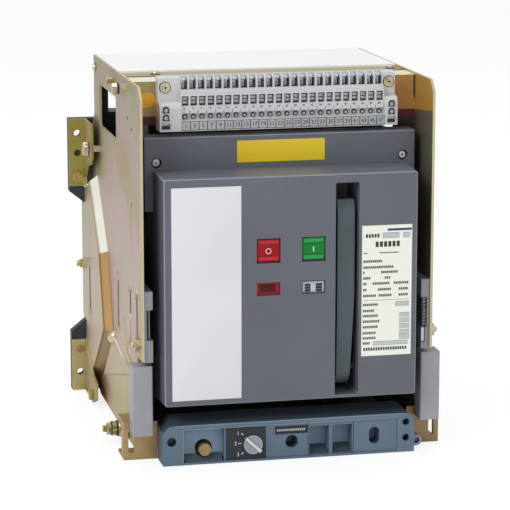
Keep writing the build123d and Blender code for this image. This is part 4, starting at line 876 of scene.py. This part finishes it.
def text_into(mesh, words, height, centre):
    """Plain figures that stand on a face looking to the front, a little proud of it."""
    curve = bpy.data.curves.new("figures", "FONT")
    curve.body = words
    curve.size = height
    curve.extrude = FIGURE_THICK / 2
    curve.align_x = "CENTER"
    curve.align_y = "CENTER"
    curve.resolution_u = 3
    holder = bpy.data.objects.new("figures", curve)
    flat = bpy.data.meshes.new_from_object(holder)
    flat.transform(Matrix.Translation(Vector(centre)) @ Matrix.Rotation(math.radians(90), 4, "X"))
    mesh.from_mesh(flat)
    bpy.data.objects.remove(holder)
    bpy.data.curves.remove(curve)
    bpy.data.meshes.remove(flat)


for k, x in enumerate(cell_middles):
    text_into(figures, str(2 * k + 1), 6.6, (x, MARKER_FACE - 0.7, STRIP_FOOT + 6.2))
    text_into(figures, str(2 * k + 2), 3.4, (x - 1.0, LEDGE_FACE - 0.1, STRIP_FOOT + 25.4))
print("figures: 1 to", 2 * CELL_COUNT)

# %% [markdown]
# Both stepped ends of the strip have two round collars with a screw deep inside, and below them
# a slot of painted shade under a bright clip. The dark disc and bar in a collar are painted shade,
# in its depth and in the gap below its screw.

# %% Ends of the terminal strip
END_WELL_X = 131.8
COLLAR_RISES = (16.2, 25.0)
END_SLOT = (dark, -4.9, 4.9, 65.4, 66.0, 2.6, 6.4, 0.0)
END_CLIP = (steel, -4.6, 4.6, 64.6, 66.0, 7.0, 9.6, 0.3)

for x in (-END_WELL_X, END_WELL_X):
    for rise in COLLAR_RISES:
        z = STRIP_FOOT + rise
        disc_into(pale, (x, LEDGE_FACE, z), FRONT, 4.8, 4.3, 24, 0.5)
        disc_into(dark, (x, MARKER_FACE - 0.3, z), FRONT, 3.9, 0.25, 20)
        cell_box(
            x, dark, -3.9, 3.9, MARKER_FACE - 0.5, MARKER_FACE - 0.3, rise - 3.9, rise - 1.2, 0.0,
        )
        disc_into(steel, (x, MARKER_FACE - 0.55, z - 0.6), FRONT, 2.4, 0.5, 16, 0.2)
    cell_box(x, *END_SLOT)
    cell_box(x, *END_CLIP)
finish_piece("strip_clamps", steel, "cradle", clamp_steel)
finish_piece("strip_shadows", dark, "cradle", black_compound_and_shade)
finish_piece("strip_lugs", pale, "cradle", strip_white)
finish_piece("strip_markers", markers, "cradle", marker_grey_in_shade)
finish_piece("strip_figures", figures, "cradle", black_ink_and_shade)
print("collars:", 2 * len(COLLAR_RISES))

# %% [markdown]
# The crossbeam carries a small sticker with round ends at its left, bare here. It is a thin disc
# whose left and right halves are drawn apart, which leaves two half circles and a straight middle.

# %% Round-ended sticker on the crossbeam
BEAM_FACE = 88.0
STICKER_X, STICKER_Z = -151.0, 408.8
STICKER_RADIUS, STICKER_STRETCH = 8.4, 3.4

sticker = bmesh.new()
disc_into(sticker, (STICKER_X, BEAM_FACE, STICKER_Z), FRONT, STICKER_RADIUS, 0.3, 48)
for corner in sticker.verts:
    corner.co.x += math.copysign(STICKER_STRETCH, corner.co.x - STICKER_X)
finish_piece("oval_sticker", sticker, "cradle", sticker_amber)
print("sticker:", 2 * (STICKER_RADIUS + STICKER_STRETCH), "by", 2 * STICKER_RADIUS, "mm")

# %% [markdown]
# Where the crossbeam meets the right plate there is one narrow dark gap with a bright folded
# edge. A flush filler closes the wider slot beside it, and two thin strips draw the gap: one of
# painted shade, and one painted bright as the fold's highlight.

# %% Gap at the crossbeam's right end
GAP_LEFT, GAP_RIGHT, GAP_TOP = 164.9, 166.95, 429.8

filler, gap, fold = bmesh.new(), bmesh.new(), bmesh.new()
box_into(filler, (158.7, BEAM_FACE - 0.05, 399.7), (164.3, BEAM_FACE + 1.6, 428.3))
box_into(gap, (GAP_LEFT, BEAM_FACE - 0.2, 403.2), (GAP_RIGHT, BEAM_FACE, GAP_TOP))
box_into(fold, (GAP_LEFT - 1.0, BEAM_FACE - 0.25, 402.4), (GAP_LEFT, BEAM_FACE, GAP_TOP))
finish_piece("beam_slot_filler", filler, "cradle", beam_zinc)
finish_piece("beam_gap", gap, "cradle", black_compound_and_shade)
finish_piece("beam_fold_highlight", fold, "cradle", bright_zinc_and_highlight)
print("beam gap in mm:", round(GAP_RIGHT - GAP_LEFT, 2))

# %% [markdown]
# The dial shows the position of the breaker by its pointer against three marks on the black
# plate. The white stripe and the turned rim ride with the dial so that they turn too. The rim is
# a small circle that the spin operator carries once round the dial's axis.

# %% Dial stripe and rim
DIAL_X, DIAL_Z = -43.5, 19.9
POINTER_TURN = math.radians(43)
dial_front = corners_of("position_dial")[0].y
plate_front = corners_of("dial_plate")[0].y
KNOB_FRONT = plate_front - 3.7


def turned_bar(mesh, x, y, z, turn, sizes):
    """A flat bar on a face to the front, turned about the front-to-back axis."""
    place = Matrix.Translation((x, y, z)) @ Matrix.Rotation(turn, 4, "Y")
    bmesh.ops.create_cube(mesh, size=1.0, matrix=place @ Matrix.Diagonal((*sizes, 1.0)))


def ring_into(mesh, centre, reach, radius, segments, steps):
    """A ring that looks to the front: a small circle that is spun once round."""
    bmesh.ops.create_circle(
        mesh, cap_ends=False, segments=segments, radius=radius,
        matrix=Matrix.Translation((reach, 0, 0)),
    )
    bmesh.ops.spin(
        mesh, geom=mesh.verts[:] + mesh.edges[:], cent=(0, 0, 0), axis=(0, 1, 0),
        angle=math.tau, steps=steps, use_merge=True,
    )
    bmesh.ops.remove_doubles(mesh, verts=mesh.verts, dist=0.001)
    bmesh.ops.transform(mesh, matrix=Matrix.Translation(centre), verts=mesh.verts)


stripe = bmesh.new()
turned_bar(stripe, DIAL_X, dial_front - 0.1, DIAL_Z, POINTER_TURN, (23.6, 0.3, 2.6))
finish_piece("dial_stripe", stripe, "dial", print_white)
rim = bmesh.new()
ring_into(rim, (DIAL_X, KNOB_FRONT, DIAL_Z), 10.2, 0.55, 8, 36)
finish_piece("dial_rim", rim, "dial", dial_rim_grey)
print("dial front at", round(dial_front, 1), "mm behind the mask face")

# %% [markdown]
# The three marks and their figures are printed on the plate, so they stay with the cradle. Each
# mark points at the dial's middle, so the upper and the lower one are tilted.

# %% Position marks
MARKS = ((-58.0, 33.6), (-61.0, 21.5), (-58.0, 8.4))
MARK_TILT = math.radians(38)

marks = bmesh.new()
for k, (x, z) in enumerate(MARKS):
    text_into(marks, str(k + 1), 6.0, (x - 2.6, plate_front - 0.15, z))
    lean = 1 - k
    turned_bar(marks, x + 2.4, plate_front - 0.1, z - 1.2 * lean, MARK_TILT * lean, (3.4, 0.2, 0.9))
finish_piece("dial_marks", marks, "cradle", print_white)
print("marks:", len(MARKS))

# %% [markdown]
# The drive rod's end is faced on a lathe, which leaves a bevelled rim and a low step. The strip
# over the crank socket has a row of pale ticks, spread evenly over its length.

# %% Rod end and crank strip ticks
ROD_X, ROD_Z = -99.5, 16.8
TICKS = 15
rod_front = corners_of("drive_rod")[0].y
crank_low, crank_high = corners_of("crank_strip")

rod_end = bmesh.new()
disc_into(rod_end, (ROD_X, rod_front, ROD_Z), FRONT, 7.4, 1.4, 32, 0.7)
disc_into(rod_end, (ROD_X, rod_front - 1.4, ROD_Z), FRONT, 5.2, 0.3, 32, 0.2)
finish_piece("rod_end_facing", rod_end, "cradle", brass)

middle = (crank_low.z + crank_high.z) / 2
pitch = (crank_high.x - crank_low.x - 4.4) / TICKS
ticks = bmesh.new()
for k in range(TICKS):
    x = crank_low.x + 2.2 + k * pitch
    box_into(ticks, (x, crank_low.y - 0.12, middle - 1.2), (x + 1.3, crank_low.y, middle + 1.3))
finish_piece("crank_strip_ticks", ticks, "cradle", print_pale)
print("tick pitch in mm:", round(pitch, 2))

# %% [markdown]
# The push buttons are moulded in clear coloured acrylic with raised steps and dark grooves across
# the front. The steps are painted lighter as a highlight, and the grooves are thin strips of
# painted shade. One loop builds both, each on its own body, so that they press in alone.

# %% Button steps and grooves
BUTTON_FACE = 1.5
OFF_X, ON_X, BUTTON_Z = -27.0, 25.2, 246.8
STEP_HALF, GROOVE_HALF = 11.6, 11.8
BUTTON_STEPS = ((7.0, 11.4, 0.4), (-11.8, -7.4, 0.6))
BUTTON_GROOVES = ((5.8, 6.5), (-7.0, -6.4))

for x, key, body, material, slot in (
    (OFF_X, "off_button", "off_key", button_red_highlight, "red_plastic"),
    (ON_X, "on_button", "on_key", button_green_highlight, "green_plastic"),
):
    steps, grooves = bmesh.new(), bmesh.new()
    for low, high, proud in BUTTON_STEPS:
        box_into(
            steps, (x - STEP_HALF, BUTTON_FACE - proud, BUTTON_Z + low),
            (x + STEP_HALF, BUTTON_FACE + 0.2, BUTTON_Z + high), 0.18,
        )
    for low, high in BUTTON_GROOVES:
        box_into(
            grooves, (x - GROOVE_HALF, BUTTON_FACE - 0.08, BUTTON_Z + low),
            (x + GROOVE_HALF, BUTTON_FACE + 0.1, BUTTON_Z + high),
        )
    finish_piece(key + "_steps", steps, body, material)
    finish_piece(key + "_grooves", grooves, body, black_ink_and_shade)
print("button steps:", len(BUTTON_STEPS), "each")

# %% [markdown]
# The buttons carry the two international symbols: a circle for open and a bar for closed. Both
# stand slightly proud, as print does on a moulded face.

# %% Symbols on the buttons
ring = bmesh.new()
ring_into(ring, (OFF_X, BUTTON_FACE - 0.3, BUTTON_Z - 1.0), 2.9, 0.42, 6, 28)
finish_piece("off_symbol", ring, "off_key", print_white)
bar = bmesh.new()
box_into(bar, (ON_X - 0.6, 0.9, BUTTON_Z - 3.4), (ON_X + 0.6, 1.4, BUTTON_Z + 2.2), 0.15)
finish_piece("on_symbol", bar, "on_key", print_white)
print("symbols: a circle and a bar")

# %% [markdown]
# The mask has a fine lip under each button and window, painted light as the highlight that it
# catches. Behind the left window is a dark hollow. The right one is framed by shadows at its top
# and its sides, with two columns of three small marks inside.

# %% Lips and indicator windows
WINDOW_Z = 195.1
MARK_FRONT, MARK_REAR = 2.2, 2.5
MARK_COLUMNS = ((-9.8, -3.2), (3.0, 10.4))
MARK_ROWS = ((196.9, 199.6), (200.0, 202.9), (203.3, 206.2))
window_low, window_high = corners_of("state_indicator")
WINDOW_SHADOWS = (
    (window_low.x, window_high.x, window_high.z - 1.1, window_high.z),
    (window_low.x, window_low.x + 0.9, window_low.z, window_high.z),
    (window_high.x - 0.5, window_high.x, window_low.z, window_high.z),
)

hollow, lip_highlights, marks = bmesh.new(), bmesh.new(), bmesh.new()
box_into(hollow, (OFF_X - 9.6, MARK_FRONT, 198.6), (OFF_X + 8.6, MARK_REAR, 207.4), 0.1)
for x in (OFF_X, ON_X):
    box_into(lip_highlights, (x - 13.9, 0.0, BUTTON_Z - 14.5), (x + 13.9, 0.6, BUTTON_Z - 13.8))
    box_into(lip_highlights, (x - 13.6, 0.0, WINDOW_Z), (x + 13.6, 0.6, WINDOW_Z + 0.7))
for left, right, low, high in WINDOW_SHADOWS:
    box_into(marks, (left, MARK_FRONT, low), (right, MARK_REAR, high))
for left, right in MARK_COLUMNS:
    for low, high in MARK_ROWS:
        box_into(marks, (ON_X + left, MARK_FRONT, low), (ON_X + right, MARK_REAR, high), 0.1)
finish_piece("charge_indicator_hollow", hollow, "breaker", window_dark)
finish_piece("window_lip_highlights", lip_highlights, "breaker", mask_highlight_grey)
finish_piece("indicator_marks", marks, "breaker", black_ink_and_shade)
print("marks in the right window:", len(MARK_COLUMNS) * len(MARK_ROWS))

# %% [markdown]
# The moulding's long outer edges are rounded by a fraction of a millimetre, and such an edge shows
# as a thin light line. A slim strip painted light along the edge stands in for that highlight on the
# flange's top and on the racking base.

# %% Painted light edges of the flange and the racking base
FLANGE_X, FLANGE_Y, FLANGE_Z = 158.0, 56.0, 370.0
BASE_X, BASE_Y, BASE_Z = 134.6, 7.1, 46.4
FIELD_LEFT, FIELD_RIGHT, FIELD_LOW, FIELD_HIGH = -124.0, 128.0, 2.6, 41.2
FIELD_LINES = (
    (FIELD_LEFT - 0.7, FIELD_RIGHT + 0.7, FIELD_HIGH, FIELD_HIGH + 0.8),
    (FIELD_LEFT - 0.8, FIELD_LEFT, FIELD_LOW, FIELD_HIGH),
    (FIELD_RIGHT, FIELD_RIGHT + 0.7, FIELD_LOW, FIELD_HIGH),
)

edge = bmesh.new()
box_into(edge, (-FLANGE_X, FLANGE_Y - 0.05, FLANGE_Z - 1.0), (FLANGE_X, FLANGE_Y + 1.0, FLANGE_Z + 0.05))
finish_piece("flange_light_edge", edge, "breaker", mask_highlight_grey)
edge = bmesh.new()
box_into(edge, (-BASE_X, BASE_Y - 0.05, BASE_Z - 0.9), (BASE_X, BASE_Y + 0.9, BASE_Z + 0.15))
for left, right, low, high in FIELD_LINES:
    box_into(edge, (left, BASE_Y - 0.1, low), (right, BASE_Y + 0.6, high))
finish_piece("base_light_edge", edge, "cradle", slate_highlight)
print("light edges:", 2 + len(FIELD_LINES))

# %% [markdown]
# The nameplate is bare of words. Rows of short blocks, a ruled line and empty boxes keep the
# look of a filled-in plate. A row is given by its drop from the plate's top, its height and the
# stretches that it fills, and a box by its drop, its height and its two ends.

# %% Rows and boxes of the nameplate
ROWS = (
    (12.0, 4.2, ((4.5, 23.0),)),
    (22.0, 6.2, ((16.0, 46.0),)),
    (32.0, 1.4, ((2.2, 8.0), (21.0, 44.0))),
    (41.5, 2.8, ((1.8, 25.5),)),
    (48.5, 2.8, ((1.8, 39.5),)),
    (54.5, 2.8, ((1.8, 5.3), (22.8, 43.0))),
    (61.0, 2.8, ((1.8, 11.4), (27.2, 35.0))),
    (67.5, 2.8, ((1.8, 7.0), (13.0, 34.0), (37.7, 57.0))),
    (74.5, 2.8, ((1.8, 8.0), (19.3, 36.0), (43.9, 57.0))),
    (81.5, 2.8, ((1.8, 17.5), (20.0, 36.0), (43.9, 57.0))),
    (87.0, 0.5, ((1.8, 57.0),)),
    (92.0, 2.8, ((1.8, 20.0),)),
    (99.0, 2.8, ((1.8, 16.7),)),
    (105.0, 2.8, ((1.8, 20.0),)),
    (111.5, 2.8, ((1.8, 23.7),)),
    (118.0, 2.8, ((1.8, 20.0),)),
    (125.0, 2.8, ((1.8, 19.3),)),
    (131.0, 2.8, ((1.8, 19.3),)),
    (137.0, 2.8, ((1.8, 12.3),)),
    (144.0, 3.6, ((2.6, 57.0),)),
)
FIELDS = (
    (12.0, 6.0, 24.0, 44.0), (12.0, 6.0, 48.0, 57.0), (92.0, 5.0, 39.5, 56.0),
    (105.0, 5.0, 44.7, 57.0), (111.5, 5.0, 44.7, 57.0), (118.0, 5.4, 44.7, 57.0),
    (125.0, 5.4, 44.7, 57.0), (131.0, 5.4, 44.7, 57.0), (137.5, 4.6, 13.6, 55.3),
)
print("nameplate rows:", len(ROWS), "fields:", len(FIELDS))

# %% [markdown]
# A stretch is broken into blocks of one letter's width. Print has almost no thickness, so the
# blocks stand a tenth of a millimetre proud, which is enough to keep their faces apart.

# %% Print on the nameplate
NAMEPLATE_FACE = 0.3
LETTER_STEP, LETTER_LEAST, LETTER_SHARE = 0.8, 1.5, 0.72
LINE = 0.3
plate_low, plate_high = corners_of("nameplate")
PLATE_WIDTH = plate_high.x - plate_low.x


def print_into(mesh, left, right, drop, tall, proud=0.1):
    """A block on the nameplate, from its left edge and from its top down to the block's middle."""
    z = plate_high.z - drop
    box_into(
        mesh, (plate_low.x + left, NAMEPLATE_FACE - proud, z - tall / 2),
        (plate_low.x + right, NAMEPLATE_FACE, z + tall / 2),
    )


blocks, fields, blue = bmesh.new(), bmesh.new(), bmesh.new()
for drop, tall, stretches in ROWS:
    step = max(LETTER_LEAST, LETTER_STEP * tall)
    for start, end in stretches:
        for k in range(int((end - start) / step)):
            left = start + k * step
            print_into(blocks, left, left + LETTER_SHARE * step, drop, tall)
for drop, tall, start, end in FIELDS:
    print_into(fields, start, end, drop, tall, 0.08)
    for way in (-1, 1):
        print_into(blocks, start, end, drop + way * (tall - LINE) / 2, LINE)
print_into(blue, 30.0, PLATE_WIDTH - 0.6, 5.5, 2.6)
finish_piece("nameplate_rows", blocks, "breaker", print_grey)
finish_piece("nameplate_fields", fields, "breaker", print_pale)
finish_piece("nameplate_rule", blue, "breaker", print_blue)
print("nameplate width in mm:", round(PLATE_WIDTH, 1))

# %% [markdown]
# A return spring stands in the right rail's mouth. A coil spring is its wire's circle carried
# round the axis while it climbs, which is exactly what the spin operator does when it is given
# a shift for each step.

# %% Return spring
SPRING_PLACE = (161.0, 18.9)
SPRING_LOW, SPRING_HIGH = 146.0, 180.6
COIL_RADIUS, WIRE_RADIUS = 2.3, 0.62
TURNS, STEPS_PER_TURN = 9, 14

spring = bmesh.new()
bmesh.ops.create_circle(
    spring, cap_ends=True, segments=8, radius=WIRE_RADIUS,
    matrix=Matrix.Translation((COIL_RADIUS, 0, 0)) @ Matrix.Rotation(math.radians(90), 4, "X"),
)
climb = (SPRING_HIGH - SPRING_LOW - 2 * WIRE_RADIUS) / (TURNS * STEPS_PER_TURN)
bmesh.ops.spin(
    spring, geom=spring.verts[:] + spring.edges[:] + spring.faces[:], cent=(0, 0, 0), axis=UP,
    dvec=(0, 0, climb), angle=math.tau * TURNS, steps=TURNS * STEPS_PER_TURN,
)
place = Matrix.Translation((*SPRING_PLACE, SPRING_LOW + WIRE_RADIUS))
bmesh.ops.transform(spring, matrix=place, verts=spring.verts)
finish_piece("return_spring", spring, "cradle", spring_steel)
print("spring turns:", TURNS)

# %% [markdown]
# Beside the spring a latch tongue shows between two slits of painted shade, and the left rail has
# a strip of pink glass tape. All three lie almost flush with the rails' front.

# %% Latch and tape on the rails
RAIL_FACE = 16.0
LATCH_TOP = 145.0

latch, slits, tape = bmesh.new(), bmesh.new(), bmesh.new()
box_into(latch, (157.5, RAIL_FACE - 0.5, 129.4), (160.3, RAIL_FACE, LATCH_TOP), 0.15)
box_into(slits, (160.6, RAIL_FACE - 0.3, 128.0), (161.6, RAIL_FACE, LATCH_TOP + 0.4))
box_into(slits, (157.2, RAIL_FACE - 0.3, 128.0), (160.6, RAIL_FACE, 129.0))
box_into(tape, (-158.8, RAIL_FACE - 0.3, 124.4), (-157.1, RAIL_FACE, LATCH_TOP))
finish_piece("latch_tongue", latch, "cradle", print_white)
finish_piece("latch_slits", slits, "cradle", black_compound_and_shade)
finish_piece("rail_tape", tape, "cradle", pink_tape)
print("latch top at", LATCH_TOP, "mm")

# %% [markdown]
# The floor is seamless white studio paper. It runs on far behind the breaker, so it fills the
# frame and needs no backdrop. Such paper is burnt out to pure white in a product picture, so it
# also glows for the camera, and only a trace of the contact shadow is left.

# %% Floor
FLOOR_HALF = 12.0
GLOW_SHARE = 0.72
MOTTLE_MM = 400


def studio_paper():
    """White paper that is burnt out to nearly pure white where the camera looks at it."""
    material, tree, shader, place = start_material("studio_paper")
    white = drifting(tree, place, MOTTLE_MM, ["#F7F8F9", "#FCFCFC"], Detail=2.0)[1]
    fill(tree, shader, {"Base Color": white, "Roughness": 0.9})
    glow = add(tree, "Emission", {"Color": "#FFFFFF", "Strength": 1.12}, "Emission")
    seen = add(tree, "LightPath", {}, "Is Camera Ray")
    share = add(tree, "Math", {0: seen, 1: GLOW_SHARE}, operation="MULTIPLY")
    blend = add(tree, "MixShader", {0: share, 1: shader.outputs["BSDF"], 2: glow}, "Shader")
    fill(tree, tree.nodes["Material Output"], {"Surface": blend})
    return material


floor_mesh = bmesh.new()
bmesh.ops.create_grid(floor_mesh, x_segments=1, y_segments=1, size=FLOOR_HALF)
floor_data = bpy.data.meshes.new("floor")
floor_mesh.to_mesh(floor_data)
floor_mesh.free()
floor_data.materials.append(studio_paper())
floor = bpy.data.objects.new("floor", floor_data)
bpy.context.scene.collection.objects.link(floor)
print("floor in m:", 2 * FLOOR_HALF, "square")
